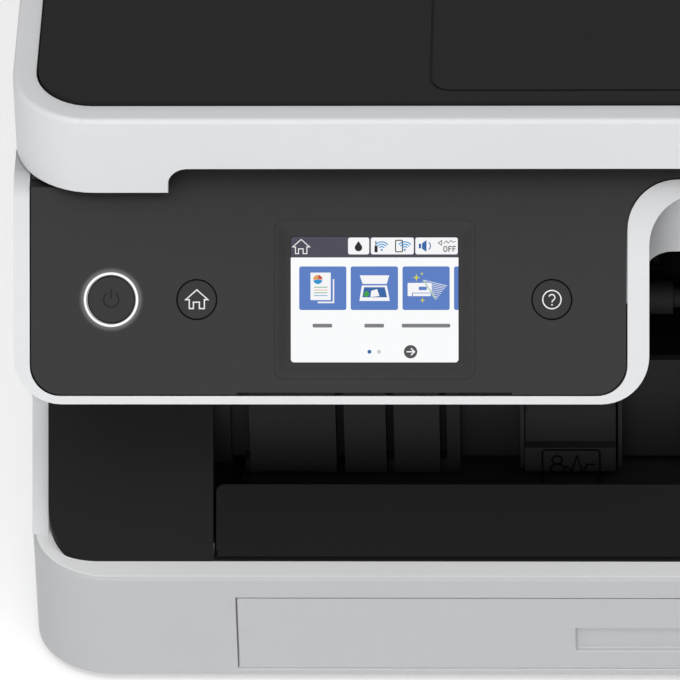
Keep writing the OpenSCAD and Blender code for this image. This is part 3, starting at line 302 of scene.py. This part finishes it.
# ---- Electronics ----
# The green main board stands on posts at the left side, and a black case at the rear holds
# the power supply. The mains inlet and the square data socket are snapped into the rear wall.

board_green = plastic("board_green", tone(28, 84, 52), 0.4, grain=700, depth=0.3, mottle=0.2)
socket_black = plastic("socket_black", tone(24, 24, 25), 0.38)
moulded("main_board", board_green, edge=0)
moulded("power_supply", inner_black)
moulded("power_inlet", socket_black, edge=0.0005)
moulded("usb_port", sheet_steel, edge=0.0003)


# ---- Output bay, its tray and the front flap ----
# The bay is lined with matt black mouldings whose blocks and ribs guide the sheets out. The
# tray slides out in two stages. A flat flap on its end folds up against the slope and shuts
# the bay's lower half.

bay_black = plastic("bay_black", tone(28, 28, 29), 0.5, shine=0.15)
moulded("output_throat", bay_black, edge=0.0004)
moulded("output_tray", bay_black)
moulded("tray_extension", bay_black)
flap_black = plastic("flap_black", tone(20, 20, 20), 0.42, shine=0.06)
SLOPE = math.atan2(37, 29)
FLAP_ROUND, FLAP_HEAD, FLAP_SIDE, FLAP_DROP = 0.0023, 55, 130, 0.0007


def on_flap_corner(a, b):
    """True for the edges that run from front to back at the flap's two upper corners."""
    high = min(a.z, b.z) > FLAP_HEAD
    return high and min(abs(a.x), abs(b.x)) > FLAP_SIDE and abs(a.x - b.x) < 0.01


flap = moulded("tray_stopper", flap_black, edge=0.0004,
               rounds=[(FLAP_ROUND, 5, on_flap_corner)])
for corner in flap.data.vertices:
    if corner.co.z > FLAP_HEAD / 1000:
        corner.co.y -= FLAP_DROP * math.cos(SLOPE)
        corner.co.z -= FLAP_DROP * math.sin(SLOPE)


def outline_of_box(x0, y0, x1, y1, radius, steps=6):
    """Corner points of a rounded box, counter-clockwise."""
    points = []
    for cx, cy, turn in ((x1 - radius, y0 + radius, -90), (x1 - radius, y1 - radius, 0),
                         (x0 + radius, y1 - radius, 90), (x0 + radius, y0 + radius, 180)):
        for i in range(steps + 1):
            a = math.radians(turn + 90 * i / steps)
            points.append((cx + radius * math.cos(a), cy + radius * math.sin(a)))
    return points


def arc(cx, cy, radius, start, stop, steps=24):
    """Points along an arc, from one bearing to another in degrees."""
    bearings = [math.radians(start + (stop - start) * i / steps) for i in range(steps + 1)]
    return [(cx + radius * math.cos(a), cy + radius * math.sin(a)) for a in bearings]


def lay_patch(mesh, points, low, high, ink=0):
    """Adds a closed flat piece with that outline, between two heights, all in millimetres."""
    under = [mesh.verts.new((x, y, low)) for x, y in points]
    over = [mesh.verts.new((x, y, high)) for x, y in points]
    faces = [mesh.faces.new(over), mesh.faces.new(under[::-1])]
    for i in range(len(points)):
        j = (i + 1) % len(points)
        faces.append(mesh.faces.new((under[i], under[j], over[j], over[i])))
    for face in faces:
        face.material_index = ink


def lay_line(mesh, points, width, low, high, ink=0, closed=False):
    """Adds a line of that width as a closed strip with mitred corners, in millimetres."""
    points = [Vector(p) for p in points]
    count = len(points)
    rings = []
    for i, p in enumerate(points):
        after = points[(i + 1) % count] - p if closed or i < count - 1 else None
        before = p - points[i - 1] if closed or i else None
        before = (before or after).normalized()
        after = (after or before).normalized()
        side = Vector((-(before + after).y, (before + after).x)).normalized()
        reach = width / 2 / max(0.4, side.dot(Vector((-before.y, before.x))))
        left, right = p + side * reach, p - side * reach
        rings.append([mesh.verts.new((*q, z))
                      for q, z in ((right, low), (right, high), (left, high), (left, low))])
    for i in range(count if closed else count - 1):
        here, there = rings[i], rings[(i + 1) % count]
        for k in range(4):
            m = (k + 1) % 4
            face = mesh.faces.new((here[k], there[k], there[m], here[m]))
            face.material_index = ink
    if not closed:
        for ring in (rings[0], rings[-1][::-1]):
            mesh.faces.new(ring).material_index = ink


def printed(name, mesh, place, inks, body):
    """Makes a piece from flat work drawn in millimetres and sets it on the printer."""
    bmesh.ops.recalc_face_normals(mesh, faces=mesh.faces)
    bmesh.ops.scale(mesh, vec=(0.001,) * 3, verts=mesh.verts)
    bmesh.ops.transform(mesh, matrix=place, verts=mesh.verts)
    piece = bpy.data.objects.new(name, bpy.data.meshes.new(name))
    mesh.to_mesh(piece.data)
    mesh.free()
    bpy.context.scene.collection.objects.link(piece)
    for ink in inks:
        piece.data.materials.append(ink)
    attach(piece, body)
    return piece


# The flap's front is one plain face with rounded upper corners, over the hinge's lugs.
HINGE_Y, HINGE_Z = -0.147102, 0.0431
FACE_FOOT_X, FACE_HEAD_X, FACE_ROUND = 131.3, 131.5, 2.3
FACE_FOOT_Y, FACE_HEAD_Y = -2.4, 19.2
FACE_UNDER, FACE_OVER = 1.28, 1.5
flap_place = Matrix(((1, 0, 0, 0), (0, math.cos(SLOPE), -math.sin(SLOPE), HINGE_Y),
                     (0, math.sin(SLOPE), math.cos(SLOPE), HINGE_Z), (0, 0, 0, 1)))
turn_x, turn_y = FACE_HEAD_X - FACE_ROUND, FACE_HEAD_Y - FACE_ROUND
flap_face = bmesh.new()
lay_patch(flap_face, [(-FACE_FOOT_X, FACE_FOOT_Y), (FACE_FOOT_X, FACE_FOOT_Y)]
          + arc(turn_x, turn_y, FACE_ROUND, 0, 90, 8)
          + arc(-turn_x, turn_y, FACE_ROUND, 90, 180, 8), FACE_UNDER, FACE_OVER)
printed("flap_face", flap_face, flap_place, [flap_black], "tray_stopper")

# A raised sign for trapped paper on the tab left of the middle: a roller, a crumpled sheet
# and a frame round both, all standing 0.15 mm proud of the tab.
MARK_X, MARK_TOP, TAB_FACE = -25.6, 63.7, -125.2
MARK_LINE, MARK_UNDER, MARK_OVER = 0.6, -0.1, 0.15
mark_place = Matrix(((1, 0, 0, MARK_X / 1000), (0, 0, -1, TAB_FACE / 1000),
                     (0, 1, 0, MARK_TOP / 1000), (0, 0, 0, 1)))
mark = bmesh.new()
for loop in (outline_of_box(-8.6, -15, 8.6, -0.4, 1.2), arc(-4.2, -4.2, 1.5, 0, 345),
             arc(-4.2, -7.9, 2.0, 0, 345)):
    lay_line(mark, loop, MARK_LINE, MARK_UNDER, MARK_OVER, closed=True)
lay_line(mark, [(-1.9, -6.6), (0.2, -8.4), (1.8, -2.6), (3.4, -9.4), (4.8, -6.0), (7.0, -6.0)],
         MARK_LINE, MARK_UNDER, MARK_OVER)
mark_black = plastic("mark_black", tone(6, 6, 6), 0.6, shine=0.03)
printed("paper_jam_mark", mark, mark_place, [mark_black], "root")


# ---- White side covers and rear wall ----
# Two white side plates with cooling slots and a rear wall close the print works. The rear
# cover between them drops back on two pins to free a trapped sheet.

moulded("left_side_cover", shell_white, edge=0.0004)
moulded("right_side_cover", shell_white, edge=0.0004)
moulded("rear_panel", shell_white, edge=0.0003)
moulded("rear_cover", shell_white, edge=0.0006)


# ---- Black front covers ----
# A satin black cover slopes up on either side of the bay, with a rounded lower corner. The
# right one has a window that shows the ink in the tank behind it.

cover_black = plastic("cover_black", tone(27, 27, 27), 0.45, shine=0.07)
COVER_FOOT, CORNER_DEPTH, CORNER_X, CORNER_PULL = -0.1507, 0.0152, 0.1665, 0.35
for cover in ("front_left_cover", "front_right_cover"):
    slope = moulded(cover, cover_black, edge=0.0005)
    for corner in slope.data.vertices:
        behind = corner.co.y - COVER_FOOT
        if abs(corner.co.x) > CORNER_X and 0 < behind < CORNER_DEPTH:
            pull = CORNER_PULL * behind
            corner.co.y -= pull
            corner.co.z = max(LEDGE_TOP / 1000, corner.co.z - pull * math.tan(SLOPE))


# ---- Ink tank and its fold-down cover ----
# Four chambers of milky plastic stand side by side, each with a filler neck under a hinged
# cap in the colour of its ink. A white cover folds down in front of them.

def milky(name, colour):
    """Thin milky plastic that lets some light through."""
    finish = plastic(name, colour, 0.25, depth=0.05)
    wiring(finish)[2].inputs["Transmission Weight"].default_value = 0.5
    return finish


tank_plastic = milky("tank_plastic", tone(205, 210, 214))
moulded("ink_tank", tank_plastic, edge=0.0003)
CAP_COLOURS = {"black": (34, 34, 36), "cyan": (20, 150, 205), "magenta": (200, 40, 120),
               "yellow": (235, 196, 30)}
for number, (ink_name, colour) in enumerate(CAP_COLOURS.items(), 1):
    cap_plastic = plastic("cap_" + ink_name, tone(*colour), 0.4)
    moulded(f"filler_cap_{number}", cap_plastic, edge=0.0003)
moulded("tank_cover", shell_white, edge=0.0005)


# ---- White fascia ----
# One white frame is screwed to the front. It holds the control panel, arches over the output
# bay in an S-curve and frames the tank cover. A thin wall behind the arch closes the works.

# The fascia's white is darkened as painted shade where other pieces stand within 30 mm, as under
# the scanner's overhang.
fascia_white = plastic("fascia_white", tone(224, 225, 227), 0.42, mottle=0.012, painted_shade_reach=0.03)
FASCIA_TOP, FASCIA_BACK, FASCIA_SIDE, FASCIA_ROUND = 171.6, -132, 181, 0.006


def on_fascia_corner(a, b):
    """True for the edges at the two upper corners of the fascia's front."""
    level = max(abs(a.z - FASCIA_TOP), abs(b.z - FASCIA_TOP)) < 0.1
    return level and max(a.y, b.y) < FASCIA_BACK and min(abs(a.x), abs(b.x)) > FASCIA_SIDE


moulded("front_fascia", fascia_white, edge=0.0007,
        rounds=[(FASCIA_ROUND, 6, on_fascia_corner)])


# ---- Control panel ----
# The panel is a satin black face on a shallow tray, and tilts up on two pins. The screen sits
# in a recess with sloping sides. Light from the power ring bleeds a little into the face.

LEAN = math.radians(38)
MIDDLE_Y, MIDDLE_Z = -0.15472, 0.1445
POWER_X, HOME_X, HELP_X, SCREEN_X = -159.0, -134.0, -30.6, -82.2
RING_RADIUS, BLEED_START, BLEED_END = 0.0076, 0.0079, 0.0098


def on_panel(x=0.0):
    """The panel's own frame, moved x millimetres along it: right, up the slope and outward."""
    return Matrix(((1, 0, 0, x / 1000),
                   (0, math.sin(LEAN), -math.cos(LEAN), MIDDLE_Y),
                   (0, math.cos(LEAN), math.sin(LEAN), MIDDLE_Z),
                   (0, 0, 0, 1)))


def fading(nodes, curve, near, far, bright, dim):
    """A node that falls from bright to dim as a distance goes from near to far."""
    fall = nodes.new("ShaderNodeMapRange")
    fall.interpolation_type = curve
    for socket, value in (("From Min", near), ("From Max", far), ("To Min", bright),
                          ("To Max", dim)):
        fall.inputs[socket].default_value = value
    return fall


# The panel's black is darkened as painted shade where other pieces stand within 40 mm, as under
# the scanner's overhang.
panel_black = plastic("panel_black", tone(54, 54, 54), 0.5, grain=1800, depth=0.15, shine=0.1,
                      painted_shade_reach=0.04)
panel_nodes, panel_links, panel_shader = wiring(panel_black)
ring_middle = on_panel(POWER_X).translation
from_ring = panel_nodes.new("ShaderNodeVectorMath")
from_ring.operation = "DISTANCE"
from_ring.inputs[1].default_value = ring_middle
bleed = fading(panel_nodes, "SMOOTHERSTEP", BLEED_START, BLEED_END, 0.12, 0.0)
panel_links.new(panel_nodes["Texture Coordinate"].outputs["Object"], from_ring.inputs[0])
panel_links.new(from_ring.outputs["Value"], bleed.inputs["Value"])
panel_links.new(bleed.outputs["Result"], panel_shader.inputs["Emission Strength"])
panel_shader.inputs["Emission Color"].default_value = (1, 1, 1, 1)
moulded("panel_face", panel_black, edge=0.0003)
moulded("panel_back", inner_black)

# The recess falls away from its rounded rim to the glass in one soft slope.
RIM_X, RIM_Y, RIM_ROUND = 29.25, 23.1, 2.95
SLOPE_WIDTH, FOOT_ROUND, RIM_SINK, SLOPE_SINK, UNDERSIDE = 4.7, 0.8, 0.04, 1.1, -1.22
STEPS = 8
bezel = bmesh.new()
loops = []
for i in range(STEPS + 1):
    t = i / STEPS
    sink = -RIM_SINK - SLOPE_SINK * t * t * (3 - 2 * t)
    half_x, half_y = RIM_X - SLOPE_WIDTH * t, RIM_Y - SLOPE_WIDTH * t
    rim = outline_of_box(-half_x, -half_y, half_x, half_y,
                         RIM_ROUND - (RIM_ROUND - FOOT_ROUND) * t, 8)
    loops.append([bezel.verts.new((x, y, sink)) for x, y in rim])
for ring in (loops[STEPS], loops[0]):
    loops.append([bezel.verts.new((v.co.x, v.co.y, UNDERSIDE)) for v in ring])
for here, there in zip(loops, loops[1:] + loops[:1]):
    for k in range(len(here)):
        m = (k + 1) % len(here)
        bezel.faces.new((here[k], here[m], there[m], there[k]))
sloping = printed("screen_bezel", bezel, on_panel(SCREEN_X), [panel_black], "panel")
sloping.data.shade_smooth()
sloping.data.set_sharp_from_angle(angle=math.radians(40))


# ---- Buttons ----
# Each round button is a black cap in its own hole, with a thin dark gap round it. The power
# button sits in a clear ring lit white from behind. Its sign is sunk in black, and the signs
# of the home and help buttons are printed in white.

button_black = plastic("button_black", tone(52, 52, 52), 0.5, grain=1800, depth=0.15, shine=0.1)
for button in ("power_button", "home_button", "help_button"):
    moulded(button, button_black, edge=0.0003)

ring_light = plastic("ring_light", tone(120, 121, 123), 0.4, shine=0.2)
ring_nodes, ring_links, ring_shader = wiring(ring_light)
ring_shader.inputs["Emission Color"].default_value = (1.0, 1.0, 1.0, 1.0)
away = ring_nodes.new("ShaderNodeVectorMath")
away.operation = "DISTANCE"
away.inputs[1].default_value = ring_middle
off_line = ring_nodes.new("ShaderNodeMath")
off_line.operation = "SUBTRACT"
off_line.inputs[1].default_value = RING_RADIUS
either_way = ring_nodes.new("ShaderNodeMath")
either_way.operation = "ABSOLUTE"
fall = fading(ring_nodes, "SMOOTHSTEP", 0.0001, 0.00045, 0.95, 0.14)
ring_links.new(ring_nodes["Texture Coordinate"].outputs["Object"], away.inputs[0])
ring_links.new(away.outputs["Value"], off_line.inputs[0])
ring_links.new(off_line.outputs["Value"], either_way.inputs[0])
ring_links.new(either_way.outputs["Value"], fall.inputs["Value"])
ring_links.new(fall.outputs["Result"], ring_shader.inputs["Emission Strength"])
moulded("power_ring", ring_light, edge=0.0002)

CAP_TOP = -0.25
SIGN = {"low": CAP_TOP - 0.1, "high": CAP_TOP + 0.04}
BOLD, FINE = 0.42, 0.36
sign_white = plastic("sign_white", tone(232, 233, 235), 0.5)
sign_black = plastic("sign_black", tone(18, 18, 18), 0.5, shine=0.15)

power_sign = bmesh.new()
lay_line(power_sign, arc(0, 0, 2.2, 122, 418, 36), BOLD, **SIGN)
lay_line(power_sign, [(0, 3.1), (0, 0.3)], BOLD, **SIGN)
printed("power_sign", power_sign, on_panel(POWER_X), [sign_black], "power_button")


def house(scale=1.0, cx=0.0, cy=0.0):
    """Outline of the home sign: a roof with eaves, two walls and a door."""
    points = [(0, 2.84), (3.25, -0.02), (2.19, -0.02), (2.19, -2.6), (0.75, -2.6),
              (0.75, -0.75), (-1.0, -0.75), (-1.0, -2.6), (-2.19, -2.6), (-2.19, -0.02),
              (-3.25, -0.02)]
    return [(cx + x * scale, cy + y * scale) for x, y in points]


home_sign = bmesh.new()
lay_line(home_sign, house(), FINE, **SIGN, closed=True)
printed("home_sign", home_sign, on_panel(HOME_X), [sign_white], "home_button")

help_sign = bmesh.new()
lay_line(help_sign, arc(0, 0, 2.66, 0, 360, 48)[:-1], FINE, **SIGN, closed=True)
hook = arc(0, 0.62, 0.86, 165, -40, 14) + [(0.16, -0.35), (0.02, -0.85)]
lay_line(help_sign, hook, FINE, **SIGN)
lay_patch(help_sign, arc(0.02, -1.52, 0.24, 0, 330, 11), **SIGN)
printed("help_sign", help_sign, on_panel(HELP_X), [sign_white], "help_button")


# ---- Touch screen and its picture ----
# A colour display under a flush black glass. The picture shows a slate header with status
# signs and a row of blue tiles, whose names are plain bars.

def lit(name, colour):
    """One colour of the picture, lit from behind."""
    ink = plastic(name, tone(6, 6, 6), 0.25, depth=0.02, shine=0.0)
    shader = wiring(ink)[2]
    shader.inputs["Emission Color"].default_value = colour
    shader.inputs["Emission Strength"].default_value = 1.0
    return ink


screen_black = plastic("screen_black", tone(14, 14, 15), 0.2, depth=0.02, shine=0.3)
moulded("touch_screen", screen_black, edge=0.0002)

INKS = {"page": (250, 251, 252), "slate": (80, 79, 91), "chip": (246, 246, 248),
        "dark": (48, 48, 52), "tile": (95, 128, 196), "blue": (56, 150, 206),
        "navy": (62, 104, 166), "green": (70, 160, 80), "yellow": (214, 214, 60),
        "red": (206, 92, 66), "orange": (226, 160, 84), "bar": (128, 128, 132),
        "pale": (206, 206, 210), "grey": (86, 86, 88)}
inks = [lit("picture_" + name, tone(*colour)) for name, colour in INKS.items()]
INK = {name: i for i, name in enumerate(INKS)}
GLASS, LAYER_STEP, LAYER_SINK = -1.4, 0.03, 0.02
LAYERS = [GLASS + LAYER_STEP * i for i in range(7)]
LEFT, RIGHT, TOP, PAGE_ROUND = -24.45, 24.4, 18.3, 0.9
HEADER_FOOT, CHIP_FOOT, CHIP_HEAD = 12.25, 13.15, 18.05
TILE_FOOT, TILE_HEAD, TILE_ROUND = -3.05, 9.65, 0.6
NAME_FOOT, NAME_HEAD, DOTS_Y = -8.15, -7.05, -15.2
picture = bmesh.new()


def patch(points, layer, ink):
    """A flat patch of one ink on the layer below it, sunk a little into that."""
    lay_patch(picture, points, LAYERS[layer - 1] - LAYER_SINK, LAYERS[layer], INK[ink])


def line(points, width, layer, ink, closed=False):
    """A line of one ink, laid like a patch."""
    lay_line(picture, points, width, LAYERS[layer - 1] - LAYER_SINK, LAYERS[layer], INK[ink],
             closed)


def box(x0, y0, x1, y1, radius, layer, ink):
    """A rounded box of one ink."""
    patch(outline_of_box(x0, y0, x1, y1, radius, 4), layer, ink)


box(LEFT, -TOP, RIGHT, TOP, PAGE_ROUND, 1, "page")
turn_y = TOP - PAGE_ROUND
patch([(LEFT, HEADER_FOOT), (RIGHT, HEADER_FOOT)]
      + arc(RIGHT - PAGE_ROUND, turn_y, PAGE_ROUND, 0, 90, 4)
      + arc(LEFT + PAGE_ROUND, turn_y, PAGE_ROUND, 90, 180, 4), 2, "slate")
line(house(0.76, -21.42, 15.35), 0.26, 3, "chip", closed=True)
for x0, x1 in ((-7.75, -1.6), (-1.1, 11.4), (11.85, 24.2)):
    box(x0, CHIP_FOOT, x1, CHIP_HEAD, TILE_ROUND, 3, "chip")

# ink drop
drop = [(-4.72, 17.05)] + arc(-4.72, 15.15, 1.1, 20, -200, 14)
patch(drop, 4, "dark")


def waves(cx, cy):
    """Three arcs and a dot, the common sign for a radio link."""
    patch(arc(cx, cy, 0.32, 0, 330, 11), 4, "blue")
    for radius in (0.95, 1.65, 2.35):
        line(arc(cx, cy, radius, 40, 140, 10), 0.32, 4, "blue")


# radio link of the printer, then of a telephone
line([(0.35, 14.1), (0.35, 17.1)], 0.3, 4, "dark")
box(-0.05, 13.75, 0.85, 15.6, 0.1, 4, "dark")
waves(2.05, 14.45)
line(outline_of_box(6.1, 13.9, 8.1, 17.25, 0.25, 3), 0.3, 4, "dark", closed=True)
waves(8.75, 14.45)
# loudspeaker
box(12.85, 14.9, 13.55, 16.25, 0.05, 4, "navy")
patch([(13.8, 14.75), (15.1, 13.9), (15.1, 17.3), (13.8, 16.4)], 4, "navy")
line(arc(14.9, 15.6, 1.35, -50, 50, 8), 0.3, 4, "navy")
# quiet mode, off
line([(18.5, 16.5), (19.5, 17.2), (19.5, 15.8), (18.5, 16.5)], 0.2, 4, "grey")
line([(20.1, 16.3), (20.9, 17.1), (21.4, 16.4), (22.2, 17.2), (22.8, 16.7), (23.6, 16.9)],
     0.2, 4, "grey")
line(outline_of_box(20.15, 14.0, 21.05, 15.45, 0.4, 4), 0.26, 4, "dark", closed=True)
for x in (21.6, 22.8):
    line([(x, 13.88), (x, 15.45), (x + 0.85, 15.45)], 0.26, 4, "dark")
    line([(x + 0.1, 14.75), (x + 0.75, 14.75)], 0.24, 4, "dark")

# three tiles, and the edge of a fourth
for x0, x1 in ((-22.0, -8.25), (-7.0, 6.8), (8.1, 21.85)):
    box(x0, TILE_FOOT, x1, TILE_HEAD, TILE_ROUND, 2, "tile")
patch([(RIGHT, TILE_FOOT), (RIGHT, TILE_HEAD)]
      + arc(23.7, TILE_HEAD - TILE_ROUND, TILE_ROUND, 90, 180, 4)
      + arc(23.7, TILE_FOOT + TILE_ROUND, TILE_ROUND, 180, 270, 4), 2, "tile")

# copying: two sheets, the front one with a chart and lines of print
patch([(-16.6, -1.05), (-11.8, -1.05), (-11.8, 5.95), (-16.6, 5.95)], 3, "chip")
patch([(-16.75, -0.6), (-12.2, -0.6), (-12.2, 6.4), (-16.75, 6.4)], 4, "tile")
patch([(-18.7, -0.15), (-12.8, -0.15), (-12.8, 7.85), (-18.7, 7.85)], 5, "chip")
for start, stop, ink in ((0, 88, "red"), (92, 185, "orange"), (190, 350, "blue")):
    patch([(-16.55, 5.85)] + arc(-16.55, 5.85, 1.35, start, stop, 10), 6, ink)
for y, ink in ((3.6, "green"), (2.78, "orange"), (1.96, "green"), (1.14, "blue")):
    patch([(-17.7, y - 0.1), (-13.75, y - 0.1), (-13.75, y + 0.1), (-17.7, y + 0.1)], 6, ink)

# scanning: an open flatbed with a picture on the glass
patch([(-3.5, 4.55), (3.5, 4.55), (4.25, 7.05), (-4.35, 7.05)], 3, "chip")
patch([(-4.45, -0.4), (4.4, -0.4), (3.55, 4.1), (-3.75, 4.1)], 3, "chip")
patch([(-3.6, 0.65), (3.6, 0.65), (2.95, 3.6), (-3.1, 3.6)], 4, "navy")
patch([(-1.25, 0.75), (1.4, 1.0), (0.7, 3.05), (-1.0, 2.55)], 5, "chip")
patch([(-3.3, 1.15), (-2.2, 0.75), (-1.5, 1.5), (-2.0, 2.5), (-2.9, 2.3)], 5, "green")

# upkeep: a printer, a fan of swept lines and three sparks
box(9.6, 1.0, 16.6, 4.85, 0.3, 3, "chip")
patch([(10.9, 1.0), (16.6, 1.0), (16.6, 2.0), (10.9, 2.0)], 4, "tile")
patch([(11.15, 1.0), (16.3, 1.0), (16.3, 1.8), (11.15, 1.8)], 5, "chip")
box(12.85, 2.75, 15.2, 3.75, 0.1, 4, "tile")
RAYS = 9
for i in range(RAYS):
    t = i / (RAYS - 1)
    near = (14.4 + 3.4 * t, 5.6 - 5.3 * t)
    far = (21.1 - 2.9 * t, 4.0 - 3.9 * t + t * (1 - t))
    line([near, far], 0.16, 4, "chip")
line([(14.15, 5.7), (17.75, 0.15)], 0.42, 5, "chip")
line([(14.15, 5.7), (17.75, 0.15)], 0.2, 6, "green")
SPARK_WAIST = 0.28
for cx, cy, reach in ((12.15, 6.4, 1.15), (13.75, 7.5, 0.6), (13.95, -0.2, 0.85)):
    spark = []
    for k in range(8):
        out = reach if k % 2 == 0 else reach * SPARK_WAIST
        spark.append((cx + out * math.cos(k * math.pi / 4), cy + out * math.sin(k * math.pi / 4)))
    patch(spark, 5, "yellow")

# names of the tiles, as plain bars
for x0, x1 in ((-18.1, -12.4), (-3.0, 2.7), (7.9, 22.0)):
    box(x0, NAME_FOOT, x1, NAME_HEAD, 0.3, 2, "bar")

# page dots and an arrow to the next page
patch(arc(-1.55, DOTS_Y, 0.58, 0, 345, 23), 2, "navy")
patch(arc(1.25, DOTS_Y, 0.58, 0, 345, 23), 2, "pale")
patch(arc(10.45, DOTS_Y, 1.95, 0, 350, 35), 2, "grey")
line([(9.3, DOTS_Y), (11.5, DOTS_Y)], 0.36, 3, "chip")
line([(10.55, DOTS_Y + 1), (11.6, DOTS_Y), (10.55, DOTS_Y - 1)], 0.36, 3, "chip")
printed("screen_picture", picture, on_panel(SCREEN_X), inks, "panel")


# ---- Scanner ----
# A black tray holds the glass over the sensor bar, which runs on a steel rod. The white
# housing hangs over the tray as a skirt with a soft upper edge, and is notched in front so
# that fingers can lift the whole scanner.

RIM_TOP, RIM_EDGE = 198.5, 0.0014
OUTER_X, OUTER_BACK, OUTER_FRONT = 181, 171, -133.5


def on_outer_rim(a, b):
    """True for an edge of the housing's top on its outer outline."""
    outer = (max(abs(a.x), abs(b.x)) > OUTER_X or max(a.y, b.y) > OUTER_BACK
             or min(a.y, b.y) < OUTER_FRONT)
    return min(a.z, b.z) > RIM_TOP - 0.01 and outer


bar_black = plastic("bar_black", tone(30, 30, 31), 0.5, shine=0.25)
moulded("scanner_base", inner_black, edge=0.0002)
moulded("scan_bar", bar_black)
glass = milky("bed_glass", tone(214, 226, 224))
wiring(glass)[2].inputs["Transmission Weight"].default_value = 0.9
moulded("scan_glass", glass, edge=0.0003)
moulded("scanner_housing", shell_white, edge=0.0003,
        rounds=[(RIM_EDGE, 4, on_outer_rim)])


# ---- Document lid ----
# The black lid is a shallow tray with a fine matt grain, hinged at the back, with a white
# foam pad under it. A groove on top marks where the hand lifts it.

lid_black = plastic("lid_black", tone(38, 38, 39), 0.6, grain=1500, depth=0.25, shine=0.07)
moulded("lid_shell", lid_black, edge=0.0004)
foam_white = plastic("foam_white", tone(236, 236, 234), 0.9, grain=900, depth=0.6)
moulded("lid_pad", foam_white, edge=0.0008)


# ---- Floor, backdrop, lamps and camera ----
# The printer stands on a pale table in front of a pale backdrop, under two big soft boxes and
# an even sky. The camera looks square onto the control panel from its right.

TABLE_LIFT, SKY_LIGHT, TABLE_HALF = 0.38, 0.34, 4.0

floor_paint = plastic("floor_paint", tone(240, 240, 240), 0.9, grain=300, depth=0.02,
                      mottle=0.005, shine=0.1)
table_nodes, table_links, table_shader = wiring(floor_paint)
looked_at = table_nodes.new("ShaderNodeLightPath")
mirrored = table_nodes.new("ShaderNodeMath")
mirrored.operation = "MAXIMUM"
lift = table_nodes.new("ShaderNodeMath")
lift.operation = "MULTIPLY"
lift.inputs[1].default_value = TABLE_LIFT
table_links.new(looked_at.outputs["Is Camera Ray"], mirrored.inputs[0])
table_links.new(looked_at.outputs["Is Glossy Ray"], mirrored.inputs[1])
table_links.new(mirrored.outputs["Value"], lift.inputs[0])
table_links.new(lift.outputs["Value"], table_shader.inputs["Emission Strength"])
table_shader.inputs["Emission Color"].default_value = (1, 1, 1, 1)
floor = bpy.data.objects.new("floor", bpy.data.meshes.new("floor"))
table_mesh = bmesh.new()
bmesh.ops.create_grid(table_mesh, x_segments=8, y_segments=8, size=TABLE_HALF)
table_mesh.to_mesh(floor.data)
table_mesh.free()
floor.data.materials.append(floor_paint)
bpy.context.scene.collection.objects.link(floor)

world = bpy.data.worlds.new("sky")
bpy.context.scene.world = world
world.use_nodes = True
sky, sky_links = world.node_tree.nodes, world.node_tree.links
even = sky["Background"]
even.inputs["Color"].default_value = (1, 1, 1, 1)
even.inputs["Strength"].default_value = SKY_LIGHT
backdrop = sky.new("ShaderNodeBackground")
backdrop.inputs["Color"].default_value = tone(240, 240, 240)
backdrop.inputs["Strength"].default_value = 1.0
rays = sky.new("ShaderNodeLightPath")
seen = sky.new("ShaderNodeMath")
seen.operation = "MAXIMUM"
mirrored_sky = sky.new("ShaderNodeMath")
mirrored_sky.operation = "MAXIMUM"
shown = sky.new("ShaderNodeMixShader")
sky_links.new(rays.outputs["Is Glossy Ray"], mirrored_sky.inputs[0])
sky_links.new(rays.outputs["Is Transmission Ray"], mirrored_sky.inputs[1])
sky_links.new(rays.outputs["Is Camera Ray"], seen.inputs[0])
sky_links.new(mirrored_sky.outputs["Value"], seen.inputs[1])
sky_links.new(seen.outputs["Value"], shown.inputs["Fac"])
sky_links.new(even.outputs["Background"], shown.inputs[1])
sky_links.new(backdrop.outputs["Background"], shown.inputs[2])
sky_links.new(shown.outputs["Shader"], sky["World Output"].inputs["Surface"])


def softbox(name, place, target, width, height, power):
    """A large soft lamp that points at a place on the printer."""
    lamp = bpy.data.lights.new(name, "AREA")
    lamp.shape = "RECTANGLE"
    lamp.size, lamp.size_y = width, height
    lamp.energy = power
    holder = bpy.data.objects.new(name, lamp)
    holder.location = place
    holder.rotation_euler = (Vector(target) - Vector(place)).to_track_quat("-Z", "Y").to_euler()
    bpy.context.scene.collection.objects.link(holder)


softbox("front_box", (-0.35, -1.9, 0.6), (0, -0.12, 0.12), 1.4, 0.9, 11)
softbox("high_box", (-0.15, -0.95, 1.55), (0, -0.14, 0.1), 1.6, 0.7, 11)

EYE, LENS = (-0.0053, -2.084, 1.6861), 449.42
TURN, TILT, ROLL = math.radians(2.017), math.radians(-0.899), math.radians(-0.03)
camera = bpy.data.cameras.new("camera")
camera.lens = LENS
camera.sensor_width = 36
camera.clip_end = 20
holder = bpy.data.objects.new("camera", camera)
square_on = Matrix(((1, 0, 0), (0, math.sin(LEAN), -math.cos(LEAN)),
                    (0, math.cos(LEAN), math.sin(LEAN))))
swing = (Matrix.Rotation(TURN, 3, "Y") @ Matrix.Rotation(TILT, 3, "X")
         @ Matrix.Rotation(ROLL, 3, "Z"))
holder.matrix_world = Matrix.Translation(EYE) @ (square_on @ swing).to_4x4()
bpy.context.scene.collection.objects.link(holder)
bpy.context.scene.camera = holder
bpy.context.scene.view_settings.view_transform = "Standard"
